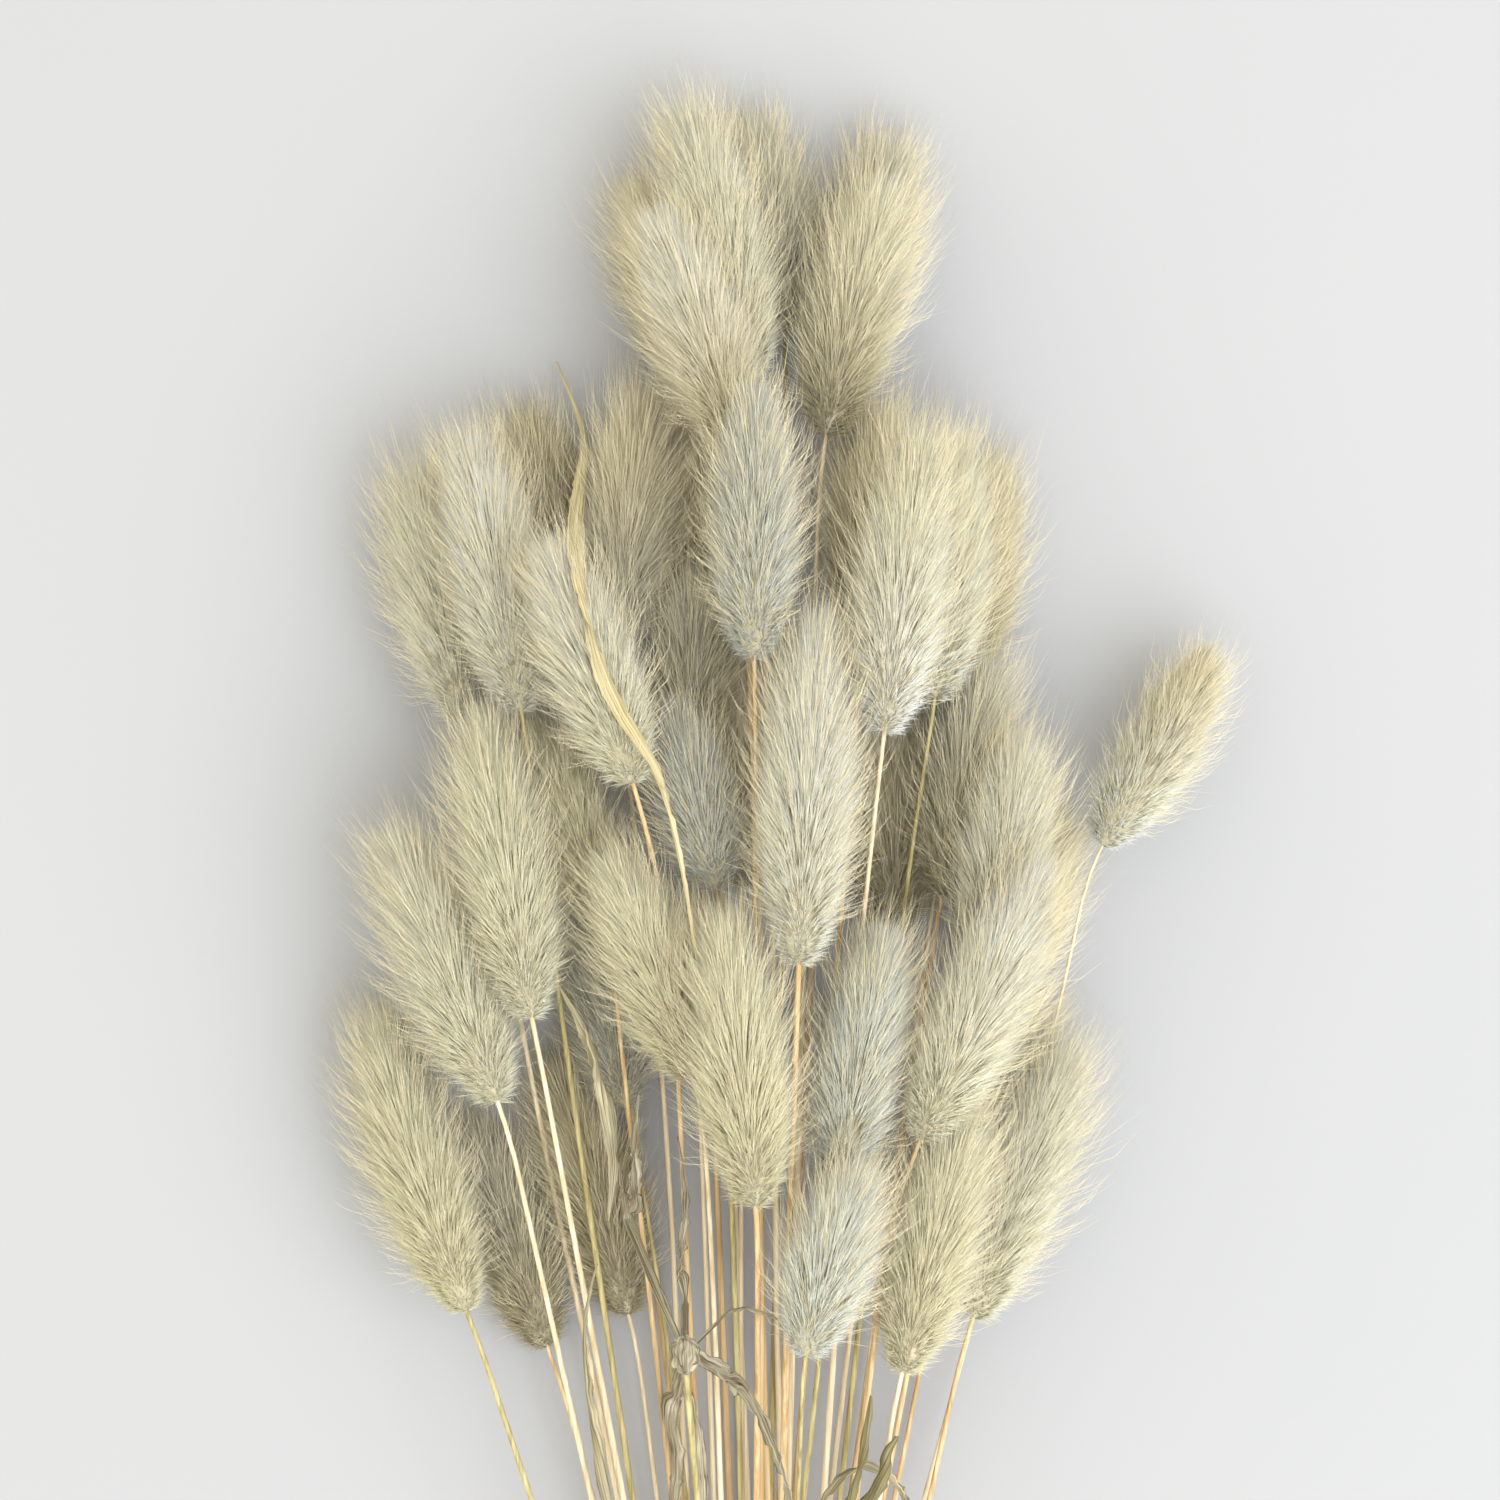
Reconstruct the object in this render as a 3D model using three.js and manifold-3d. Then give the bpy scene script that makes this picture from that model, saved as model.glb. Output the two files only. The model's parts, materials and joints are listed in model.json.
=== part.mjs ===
// A bunch of cut and dried bunny tail grass that lies on a table with its seed heads towards +Y.
// Millimetres, +Z up. Each stalk grew as one piece, so its culm and its seed head are one solid.
import * as THREE from "three";
import { mergeVertices } from "three/addons/utils/BufferGeometryUtils.js";
import Module from "manifold-3d";

const wasm = await Module();
wasm.setup();

// Overall sizes
const bunchLength = 450; // from the cut ends to the top of the highest seed head
const headZone = 237; // the stretch at the top that holds the seed heads
const fanWidth = 112; // across the feet of the outermost seed heads
const cutSpread = 36; // across the cut ends
const cutUneven = 9; // from the longest cut end to the shortest

// The stalks
const headRadius = 6;
const headLength = 48;
const culmRadius = 0.95;
const layerHeight = 12.4; // from one layer of seed heads to the next

// The tie
const tieHeight = 108; // from the cut ends to the middle of the tie
const tieWidth = 12;
const tieThickness = 1.5;

// The leaves
const leafThickness = 0.5;
const leafFold = 0.18; // how deep the gutter along a blade is, as a share of its width

const clearance = 0.3; // the gap that pieces in contact keep
const headSides = 8;
const culmSides = 6;

// How the pack of stalks is worked out
const lowerSteps = 4; // stations between the cut ends and the tie, and again up to the seed heads
const upperStep = 4.2; // station spacing among the seed heads
const pullingRounds = 260;
const settlingRounds = 400;
const closeEnough = 0.02; // the overlap that ends the settling
const straightWithin = 0.08; // a culm that strays less than this from a line is made straight

// One row per stalk. across: where the foot of its head stands, in hundredths of half the fan, to the
// right. up: how high that is, in hundredths of the head zone. lean: degrees to the right of straight
// up. size: the head's length in hundredths of headLength. layer: 0 lies on the table. droop: degrees
// that its tip hangs below its foot. thick: the culm's thickness in hundredths. bow: how far the middle
// of the head bends to the right, in mm.
const stalkRows = [
  { across: 0, up: 80, lean: -15, size: 100, layer: 1.2, droop: 5, thick: 100, colour: "cream" },
  { across: -3, up: 74, lean: -20, size: 90, layer: 2.1, droop: 7, thick: 95, colour: "cream" },
  { across: -14, up: 79, lean: -20, size: 80, layer: 0, droop: 0, thick: 90, colour: "tan" },
  { across: 11, up: 84, lean: -11, size: 75, layer: 0, droop: 0, thick: 90, colour: "sage" },
  { across: 26, up: 82, lean: 13, size: 76, layer: 0.2, droop: 2, thick: 90, colour: "tan" },
  { across: 19, up: 76, lean: 15, size: 90, layer: 1.3, droop: 4, thick: 100, colour: "cream" },
  { across: -1, up: 59, lean: 0, size: 100, layer: 2.9, droop: 3, thick: 100, colour: "blue_grey" },
  { across: -88, up: 55, lean: -12, size: 94, layer: 0.8, droop: 4, thick: 100, colour: "sage" },
  { across: -70, up: 56, lean: -12, size: 100, layer: 1.8, droop: 6, thick: 105, colour: "sage" },
  { across: -59, up: 62, lean: -10, size: 78, layer: 0, droop: 0, thick: 90, colour: "tan" },
  { across: -44, up: 59, lean: 6, size: 96, layer: 1.1, droop: 3, thick: 100, colour: "sage" },
  { across: -35, up: 51, lean: -22, size: 88, layer: 2.7, droop: 5, thick: 105, colour: "blue_grey" },
  { across: -21, up: 52, lean: 2, size: 66, layer: 1.2, droop: 2, thick: 90, colour: "tan" },
  { across: -9, up: 43, lean: -17, size: 68, layer: 1.9, droop: 4, thick: 95, colour: "blue_grey" },
  { across: -18, up: 62, lean: -8, size: 78, layer: 0, droop: 0, thick: 95, colour: "tan" },
  { across: -67, up: 34, lean: -10, size: 112, layer: 2, droop: 5, thick: 115, colour: "cream" },
  { across: -44, up: 41, lean: -23, size: 76, layer: 1.2, droop: 2, thick: 100, colour: "tan" },
  { across: -76, up: 28, lean: -23, size: 104, layer: 1.7, droop: 6, thick: 110, colour: "cream" },
  { across: -87, up: 13, lean: -18, size: 114, layer: 1, droop: 5, thick: 110, bow: -1.5, colour: "cream" },
  { across: -62, up: 10, lean: -22, size: 86, layer: 0, droop: 0, thick: 95, colour: "sage" },
  { across: -14, up: 30, lean: -21, size: 84, layer: 2, droop: 3, thick: 105, colour: "cream" },
  { across: 0, up: 21, lean: -7, size: 102, layer: 2.8, droop: 2, thick: 110, colour: "cream" },
  { across: -36, up: 12, lean: -20, size: 94, layer: 0, droop: 0, thick: 95, colour: "tan" },
  { across: -33, up: 27, lean: -20, size: 66, layer: 0.3, droop: 2, thick: 95, colour: "blue_grey" },
  { across: 12, up: 38, lean: 3, size: 124, layer: 3, droop: 3, thick: 115, colour: "cream" },
  { across: 37, up: 54, lean: 7, size: 108, layer: 2.8, droop: 6, thick: 105, colour: "cream" },
  { across: 32, up: 61, lean: 4, size: 82, layer: 1.1, droop: 3, thick: 95, colour: "tan" },
  { across: 61, up: 57, lean: 10, size: 88, layer: 0, droop: 0, thick: 95, colour: "tan" },
  { across: 54, up: 57, lean: 4, size: 92, layer: 1.4, droop: 4, thick: 95, colour: "cream" },
  { across: 56, up: 43, lean: 11, size: 82, layer: 1, droop: 4, thick: 100, colour: "sage" },
  { across: 43, up: 40, lean: 3, size: 70, layer: 0, droop: 0, thick: 95, colour: "tan" },
  { across: 69, up: 38, lean: 9, size: 76, layer: 1.7, droop: 6, thick: 95, colour: "sage" },
  { across: 100, up: 47, lean: 33, size: 82, layer: 0.9, droop: 6, thick: 75, bow: 3.5, colour: "sage" },
  { across: 25, up: 22, lean: 8, size: 94, layer: 2, droop: 3, thick: 105, colour: "blue_grey" },
  { across: 44, up: 26, lean: 26, size: 104, layer: 2.1, droop: 6, thick: 105, bow: 1.5, colour: "sage" },
  { across: 78, up: 36, lean: 14, size: 60, layer: 0, droop: 0, thick: 90, colour: "tan" },
  { across: 64, up: 12, lean: 17, size: 106, layer: 0.5, droop: 3, thick: 105, colour: "sage" },
  { across: 38, up: 9, lean: 17, size: 102, layer: 2, droop: 5, thick: 110, colour: "cream" },
  { across: 12, up: 11, lean: 19, size: 66, layer: 2.9, droop: 5, thick: 95, colour: "blue_grey" },
  { across: 70, up: 24, lean: 14, size: 60, layer: 0, droop: 0, thick: 90, colour: "sage" },
  { across: -5, up: 43, lean: -2, size: 76, layer: 0, droop: 0, thick: 95, colour: "tan" },
];

// The leafy shoot has no seed head. Its culm ends in a knot at this place.
const shootRow = { across: -23, up: 10, lean: -3, size: 0, layer: 3, droop: 0, thick: 130, colour: "straw" };

// A leaf's way, in the units of the stalk rows, with its width in mm and its twist in degrees at each
// end. A loose leaf lies on whatever is below it.
const looseLeaves = [
  {
    name: "leaf_long",
    way: [[-62, 82], [-53, 76], [-54, 68], [-44, 58], [-30, 52], [-23, 46], [-18, 39]],
    width: 3.4,
    twist: [80, -300],
    colour: "gold",
  },
  {
    name: "leaf_short",
    way: [[-59, 37], [-50, 33], [-46, 29], [-43, 24], [-45, 20]],
    width: 3.2,
    twist: [30, 200],
    colour: "grey_green",
  },
  {
    name: "leaf_strip",
    way: [[-48, 17], [-52, 13], [-51, 7], [-46, 1], [-40, -6], [-34, -15]],
    width: 3.6,
    twist: [70, 20],
    colour: "grey_green",
  },
  {
    name: "leaf_curl",
    way: [[46, -2], [42, 1], [33, 3], [24, 2], [17, -1], [14, -6]],
    width: 2.6,
    twist: [40, 150],
    colour: "grey_green",
  },
  {
    name: "leaf_scrap_1",
    way: [[42, 5], [35, 2], [28, -2], [22, -8]],
    width: 4,
    twist: [-20, 40],
    colour: "olive",
  },
  {
    name: "leaf_scrap_2",
    way: [[34, 8], [31, 4], [26, 0], [23, -7]],
    width: 2.6,
    twist: [60, -20],
    colour: "olive",
  },
];

// The blades of the shoot start at its knot. Each way goes on from there.
const shootBlades = [
  { way: [[-31, 15], [-38, 22], [-36, 29]], width: 5, twist: [10, 50] },
  { way: [[-24, 16], [-22, 22], [-24, 26]], width: 3, twist: [20, 60] },
  { way: [[-30, 13], [-38, 19], [-42, 24]], width: 3.6, twist: [0, -50] },
  { way: [[-15, 11.5], [-4, 9], [5, 5], [12, -2], [10, -9]], width: 4.4, twist: [0, 90] },
  { way: [[-14, 13], [-4, 14.5], [6, 14]], width: 2.4, twist: [0, 120] },
  { way: [[-27, 7], [-25, 3], [-28, -5], [-29, -13]], width: 3.8, twist: [0, 60] },
  { way: [[-20, 7], [-17, 1], [-15, -9]], width: 2.6, twist: [0, -40] },
];
const knotRadius = 2.6;

const colours = {
  cream: 0xd9d4bb,
  sage: 0xc3c7b6,
  blue_grey: 0xb4bec0,
  tan: 0xbcae8c,
  straw: 0xdcc08c,
  gold: 0xc9ac6c,
  grey_green: 0xa6a488,
  olive: 0x8d8a62,
  twine: 0xb99b6b,
};

const halfFan = fanWidth / 2;
const zoneFoot = bunchLength - headZone;
const lerp = THREE.MathUtils.lerp;
const clamp = THREE.MathUtils.clamp;

// --- Places along the bunch where the stalks are compared ---

function stationList() {
  const below = tieHeight - tieWidth / 2;
  const above = tieHeight + tieWidth / 2;
  const list = [];
  for (let i = 0; i <= lowerSteps; i++) list.push((below * i) / lowerSteps);
  for (let i = 0; i < lowerSteps; i++) list.push(lerp(above, zoneFoot, i / lowerSteps));
  const upperSteps = 2 * Math.ceil((headZone + upperStep) / (2 * upperStep));
  for (let i = 0; i <= upperSteps; i++) list.push(zoneFoot + i * upperStep);
  return list;
}

const stations = stationList();
const tieBelow = lowerSteps;
const tieAbove = lowerSteps + 1;

// --- A stalk as a chain of round sections, one per station ---

// The head's outline from its foot to its tip: share of its length, share of its radius.
const headOutline = [[0, 0], [0.02, 0.45], [0.13, 0.92], [0.38, 1], [0.68, 0.84], [0.9, 0.48], [1, 0]];

function headRadiusAt(t) {
  if (t <= 0 || t >= 1) return 0;
  const i = headOutline.findIndex(([share]) => share >= t);
  const [t0, r0] = headOutline[i - 1];
  const [t1, r1] = headOutline[i];
  return headRadius * lerp(r0, r1, (t - t0) / (t1 - t0));
}

// The largest radius of the head within half a station of this height.
function widestNear(t, reach) {
  let most = 0;
  for (let i = -2; i <= 2; i++) most = Math.max(most, headRadiusAt(t + (i * reach) / 2));
  return most;
}

function makeStalk(row, index) {
  const length = (row.size / 100) * headLength;
  const lean = THREE.MathUtils.degToRad(row.lean);
  const rise = length * Math.cos(lean);
  const foot = new THREE.Vector3((row.across / 100) * halfFan, zoneFoot + (row.up / 100) * headZone, 0);
  const top = Math.min(foot.y + rise, bunchLength);
  foot.y = top - rise;
  foot.z = headRadius + row.layer * layerHeight;
  const culm = (row.thick / 100) * culmRadius;
  const end = Math.max(top, foot.y + clearance);
  const last = stations.findIndex((y) => y >= end);
  const headFrom = Math.min(stations.findIndex((y) => y > foot.y), last);
  const count = last + 1;
  const stalk = {
    row, index, length, lean, rise, foot, culm, last, headFrom,
    bow: row.bow ?? 0,
    x: new Float64Array(count),
    z: new Float64Array(count),
    r: new Float64Array(count),
    wantX: new Float64Array(count),
    wantZ: new Float64Array(count),
  };
  const fall = Math.tan(THREE.MathUtils.degToRad(row.droop));
  const reach = rise > 0 ? upperStep / 2 / rise : 0;
  for (let k = 0; k < count; k++) {
    const t = rise > 0 ? (stations[k] - foot.y) / rise : 0;
    stalk.r[k] = Math.max(culm, rise > 0 ? widestNear(t, reach) : 0);
    if (stations[k] > foot.y && rise === 0) stalk.r[k] = knotRadius;
    stalk.wantX[k] = foot.x + Math.tan(lean) * (stations[k] - foot.y) + bowAt(stalk, t);
    stalk.wantZ[k] = foot.z - fall * (stations[k] - foot.y);
  }
  return stalk;
}

function bowAt(stalk, t) {
  return 4 * stalk.bow * clamp(t, 0, 1) * (1 - clamp(t, 0, 1));
}

// --- The stalks side by side inside the tie ---

function packTie(stalks) {
  const slots = stalks.map((stalk) => ({
    x: stalk.foot.x * 0.15 + 0.01 * Math.sin(7 * stalk.index),
    z: (stalk.foot.z - 2 * layerHeight) * 0.2 + 0.01 * Math.cos(5 * stalk.index),
    r: stalk.culm,
  }));
  const rounds = 900;
  for (let round = 0; round < rounds; round++) {
    const pull = 0.05 * Math.max(0, 1 - round / (0.8 * rounds));
    for (const slot of slots) {
      slot.x *= 1 - pull;
      slot.z *= 1 - pull;
    }
    for (let i = 0; i < slots.length; i++) {
      for (let j = i + 1; j < slots.length; j++) {
        const a = slots[i];
        const b = slots[j];
        const dx = a.x - b.x;
        const dz = a.z - b.z;
        const apart = Math.hypot(dx, dz);
        const short = a.r + b.r + clearance - apart;
        if (short <= 0) continue;
        a.x += (0.5 * short * dx) / apart;
        a.z += (0.5 * short * dz) / apart;
        b.x -= (0.5 * short * dx) / apart;
        b.z -= (0.5 * short * dz) / apart;
      }
    }
  }
  const inner = clearance + Math.max(...slots.map((slot) => Math.hypot(slot.x, slot.z) + slot.r));
  return { slots, inner, outer: inner + tieThickness };
}

// --- The whole pack ---

function startPack(stalks, tie) {
  const below = stations[tieBelow];
  const above = stations[tieAbove];
  for (const stalk of stalks) {
    const slot = tie.slots[stalk.index];
    const tieX = slot.x;
    const tieZ = slot.z + tie.outer;
    const flare = cutSpread / 2 / tie.inner;
    const span = stalk.foot.y - above;
    for (let k = 0; k <= stalk.last; k++) {
      const y = stations[k];
      if (y <= below) {
        const share = (below - y) / below;
        stalk.wantX[k] = tieX * lerp(1, flare, share);
        stalk.x[k] = stalk.wantX[k];
        stalk.z[k] = Math.max(tieZ + share * slot.z * 0.4, stalk.r[k]);
      } else if (y < stalk.foot.y) {
        const t = (y - above) / span;
        const bend = t * t * (3 - 2 * t);
        stalk.x[k] = lerp(tieX, stalk.foot.x, lerp(t, bend, 0.35));
        const sag = tieZ * (1 - t) ** 2 + stalk.foot.z * t ** 3; // so it runs under the heads below
        stalk.z[k] = Math.max(sag, stalk.r[k]);
      } else {
        stalk.x[k] = stalk.wantX[k];
        stalk.z[k] = stalk.wantZ[k];
      }
    }
  }
}

const held = (k) => k === tieBelow || k === tieAbove;

function shove(stalk, k, dx, dz) {
  if (held(k)) return;
  stalk.x[k] += dx;
  stalk.z[k] += dz;
}

// Pushes two stalks apart where they pass closest between stations k and k + 1.
function partPair(a, b, k) {
  const high = Math.min(k + 1, a.last, b.last);
  const dy = high > k ? stations[high] - stations[k] : 1;
  const ax = (a.x[high] - a.x[k]) / dy;
  const bx = (b.x[high] - b.x[k]) / dy;
  const az = (a.z[high] - a.z[k]) / dy;
  const bz = (b.z[high] - b.z[k]) / dy;
  const squashX = 1 / Math.hypot(1, Math.max(Math.abs(ax), Math.abs(bx)));
  const squashZ = 1 / Math.hypot(1, Math.max(Math.abs(az), Math.abs(bz)));
  const x0 = (a.x[k] - b.x[k]) * squashX;
  const z0 = (a.z[k] - b.z[k]) * squashZ;
  const ex = (a.x[high] - b.x[high]) * squashX - x0;
  const ez = (a.z[high] - b.z[high]) * squashZ - z0;
  const closest = clamp(-(x0 * ex + z0 * ez) / (ex * ex + ez * ez + 1e-9), 0, 1);
  let worst = 0;
  for (const t of closest > 0.02 && closest < 0.98 ? [0, closest] : [0]) {
    const dx = x0 + t * ex;
    const dz = z0 + t * ez;
    const apart = Math.hypot(dx, dz) + 1e-9;
    const need = lerp(a.r[k] + b.r[k], a.r[high] + b.r[high], t) + clearance;
    const short = need - apart;
    if (short <= 0) continue;
    if (!(held(k) && (t === 0 || held(high)))) worst = Math.max(worst, short);
    const total = a.r[k] + b.r[k];
    const shareA = (0.5 + b.r[k] / total) / 2;
    for (const [stalk, share] of [[a, shareA], [b, shareA - 1]]) {
      const px = (share * short * dx) / apart;
      const pz = (share * short * dz) / apart;
      shove(stalk, k, px * (1 - t), pz * (1 - t));
      if (high > k) shove(stalk, high, px * t, pz * t);
    }
  }
  return worst;
}

// A seed head keeps its own shape, so its sections stay on one line.
function straighten(stalk) {
  const from = stalk.headFrom;
  const count = stalk.last - from + 1;
  if (count < 2) return;
  const middle = (stations[from] + stations[stalk.last]) / 2;
  let sumX = 0;
  let sumZ = 0;
  let slopeX = 0;
  let slopeZ = 0;
  let spread = 0;
  for (let k = from; k <= stalk.last; k++) {
    const bow = bowAt(stalk, (stations[k] - stalk.foot.y) / stalk.rise);
    const away = stations[k] - middle;
    sumX += stalk.x[k] - bow;
    sumZ += stalk.z[k];
    slopeX += (stalk.x[k] - bow) * away;
    slopeZ += stalk.z[k] * away;
    spread += away * away;
  }
  for (let k = from; k <= stalk.last; k++) {
    const bow = bowAt(stalk, (stations[k] - stalk.foot.y) / stalk.rise);
    const away = stations[k] - middle;
    stalk.x[k] = sumX / count + (slopeX / spread) * away + bow;
    stalk.z[k] = sumZ / count + (slopeZ / spread) * away;
  }
}

// A culm is springy, so each section is drawn towards the line between its neighbours.
function spring(stalk, strength) {
  for (let k = 1; k < stalk.headFrom; k++) {
    if (held(k) || k === stalk.last) continue;
    const t = (stations[k] - stations[k - 1]) / (stations[k + 1] - stations[k - 1]);
    stalk.x[k] += strength * (lerp(stalk.x[k - 1], stalk.x[k + 1], t) - stalk.x[k]);
    stalk.z[k] += strength * (lerp(stalk.z[k - 1], stalk.z[k + 1], t) - stalk.z[k]);
  }
}

function pullHome(stalk, strength) {
  for (let k = stalk.headFrom; k <= stalk.last; k++) {
    stalk.x[k] += strength * (stalk.wantX[k] - stalk.x[k]);
    stalk.z[k] += 0.5 * strength * (stalk.wantZ[k] - stalk.z[k]);
  }
  for (let k = 0; k < tieBelow; k++) stalk.x[k] += strength * (stalk.wantX[k] - stalk.x[k]);
}

function layOnTable(stalk) {
  for (let k = 0; k <= stalk.last; k++) if (!held(k)) stalk.z[k] = Math.max(stalk.z[k], stalk.r[k]);
}

function packRound(stalks, pull, stiffness) {
  for (const stalk of stalks) {
    if (pull > 0) pullHome(stalk, pull);
    spring(stalk, stiffness);
  }
  let worst = 0;
  for (let i = 0; i < stalks.length; i++) {
    for (let j = i + 1; j < stalks.length; j++) {
      const shared = Math.min(stalks[i].last, stalks[j].last);
      for (let k = 0; k <= shared; k++) worst = Math.max(worst, partPair(stalks[i], stalks[j], k));
    }
  }
  for (const stalk of stalks) {
    straighten(stalk);
    layOnTable(stalk);
  }
  return worst;
}

function packStalks(stalks, tie) {
  startPack(stalks, tie);
  for (let i = 0; i < pullingRounds; i++) packRound(stalks, 0.06 * (1 - i / pullingRounds), 0.5);
  for (let i = 0; i < settlingRounds; i++) {
    if (packRound(stalks, 0, 0.25 * (1 - i / settlingRounds)) < closeEnough) break;
  }
}

// --- Solids ---

function toManifold(geometry) {
  const plain = geometry.index ? geometry.toNonIndexed() : geometry.clone();
  plain.deleteAttribute("normal");
  plain.deleteAttribute("uv");
  const merged = mergeVertices(plain, 1e-4);
  return new wasm.Manifold(
    new wasm.Mesh({
      numProp: 3,
      vertProperties: new Float32Array(merged.attributes.position.array),
      triVerts: new Uint32Array(merged.index.array),
    }),
  );
}

function toMesh(solid, name, colour) {
  const found = solid.getMesh();
  const geometry = new THREE.BufferGeometry();
  geometry.setAttribute("position", new THREE.BufferAttribute(found.vertProperties, 3));
  geometry.setIndex(new THREE.BufferAttribute(found.triVerts, 1));
  geometry.computeVertexNormals();
  const material = new THREE.MeshStandardMaterial({
    color: colours[colour],
    roughness: 0.9,
    metalness: 0,
    flatShading: true,
  });
  const mesh = new THREE.Mesh(geometry, material);
  mesh.name = name;
  return mesh;
}

// A path whose rings fall on its own points, however far apart they are.
class StationPath extends THREE.CatmullRomCurve3 {
  getUtoTmapping(u) {
    return u;
  }
}

function rod(points, radius) {
  const section = new THREE.Shape();
  for (let i = 0; i < culmSides; i++) {
    const angle = (2 * Math.PI * i) / culmSides;
    const x = radius * Math.cos(angle);
    const y = radius * Math.sin(angle);
    if (i === 0) section.moveTo(x, y);
    else section.lineTo(x, y);
  }
  const path = new StationPath(points, false, "catmullrom", 0.5);
  return new THREE.ExtrudeGeometry(section, { steps: points.length - 1, extrudePath: path });
}

// The place of a stalk's centre line at a height, between its stations.
function centreAt(stalk, y) {
  let k = stations.findIndex((station) => station > y) - 1;
  k = clamp(k, 0, stalk.last - 1);
  const t = clamp((y - stations[k]) / (stations[k + 1] - stations[k]), 0, 1);
  const x = lerp(stalk.x[k], stalk.x[k + 1], t);
  return new THREE.Vector3(x, y, lerp(stalk.z[k], stalk.z[k + 1], t));
}

// The culm's points, without those that lie on the line between their neighbours.
function culmPoints(stalk) {
  const points = [];
  for (let k = 0; k < stalk.headFrom; k++) {
    if (stalk.foot.y - stations[k] < 0.6 * upperStep) continue;
    points.push(new THREE.Vector3(stalk.x[k], stations[k], stalk.z[k]));
  }
  const shorter = (cutUneven * ((5 * stalk.index) % 7)) / 6;
  points[0].lerp(points[1], shorter / (points[1].y - points[0].y));
  const kept = [points[0]];
  let from = 0;
  for (let to = 2; to < points.length; to++) {
    const chord = new THREE.Line3(points[from], points[to]);
    const skipped = points.slice(from + 1, to);
    const onLine = skipped.every((point) => {
      const near = chord.closestPointToPoint(point, true, new THREE.Vector3());
      return near.distanceTo(point) < straightWithin;
    });
    if (onLine) continue;
    from = to - 1;
    kept.push(points[from]);
  }
  kept.push(points[points.length - 1]);
  return kept;
}

// The head is turned about its axis, laid along the line of its sections and bent by its bow.
function headSolid(stalk) {
  const outline = headOutline.map(([t, r]) => new THREE.Vector2(r * headRadius, t * stalk.length));
  const geometry = new THREE.LatheGeometry(outline, headSides);
  const last = stalk.last;
  const from = stalk.headFrom;
  const dy = stations[last] - stations[from];
  const bowFrom = bowAt(stalk, (stations[from] - stalk.foot.y) / stalk.rise);
  const bowLast = bowAt(stalk, (stations[last] - stalk.foot.y) / stalk.rise);
  const slopeX = (stalk.x[last] - bowLast - stalk.x[from] + bowFrom) / dy;
  const slopeZ = (stalk.z[last] - stalk.z[from]) / dy;
  const axis = new THREE.Vector3(slopeX, 1, slopeZ).normalize();
  const back = stalk.foot.y - stations[from];
  const foot = new THREE.Vector3(
    stalk.x[from] - bowFrom + slopeX * back, stalk.foot.y, stalk.z[from] + slopeZ * back,
  );
  const place = geometry.getAttribute("position");
  for (let i = 0; i < place.count; i++) {
    place.setX(i, place.getX(i) + bowAt(stalk, place.getY(i) / stalk.length));
  }
  geometry.applyQuaternion(new THREE.Quaternion().setFromUnitVectors(new THREE.Vector3(0, 1, 0), axis));
  geometry.translate(foot.x, foot.y, foot.z);
  return { solid: toManifold(geometry), foot, axis };
}

function stalkMesh(stalk, name) {
  const head = headSolid(stalk);
  const points = culmPoints(stalk);
  points.push(head.foot.clone());
  points.push(head.foot.clone().addScaledVector(head.axis, headRadius / 2));
  const solid = toManifold(rod(points, stalk.culm)).add(head.solid);
  return toMesh(solid, name, stalk.row.colour);
}

// --- Leaves ---

// The leaves that already lie in place, as the points of their ways with half their widths.
const laidLeaves = [];

// How high the pack and the leaves on it reach within a half width of a place.
function topAt(stalks, x, y, reach) {
  let top = 0;
  for (const { points, half } of laidLeaves) {
    for (const point of points) {
      const near = Math.hypot(point.x - x, point.y - y) < reach + half;
      if (near) top = Math.max(top, point.z + half);
    }
  }
  for (const stalk of stalks) {
    if (y > stations[stalk.last]) continue;
    const centre = centreAt(stalk, y);
    const k = clamp(stations.findIndex((station) => station >= y), 0, stalk.last);
    const radius = Math.max(stalk.r[k], stalk.r[Math.max(k - 1, 0)]);
    const aside = Math.max(0, Math.abs(centre.x - x) - reach);
    if (aside >= radius) continue;
    top = Math.max(top, centre.z + Math.sqrt(radius * radius - aside * aside));
  }
  return top;
}

// The way of a leaf over the pack: as low as it can lie and still bend gently.
function drape(stalks, way, width, start) {
  const flat = new THREE.CatmullRomCurve3(
    way.map(([across, up]) => {
      return new THREE.Vector3((across / 100) * halfFan, zoneFoot + (up / 100) * headZone, 0);
    }),
  );
  const steps = Math.max(8, Math.ceil(flat.getLength() / 2.5));
  const points = flat.getSpacedPoints(steps);
  const lift = width / 2 + leafThickness + clearance;
  const tops = points.map((p) => topAt(stalks, p.x, p.y, width / 2 + clearance) + lift);
  const heights = tops.map((top, i) => {
    return Math.max(top, tops[Math.max(i - 1, 0)], tops[Math.min(i + 1, steps)]);
  });
  for (let round = 0; round < 60; round++) {
    for (let i = 1; i < steps; i++) {
      const level = (heights[i - 1] + heights[i + 1]) / 2;
      heights[i] = Math.max(tops[i], lerp(heights[i], level, 0.5));
    }
  }
  points.forEach((p, i) => {
    p.z = heights[i];
  });
  if (start) points[0].copy(start);
  return new THREE.CatmullRomCurve3(points);
}

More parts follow.
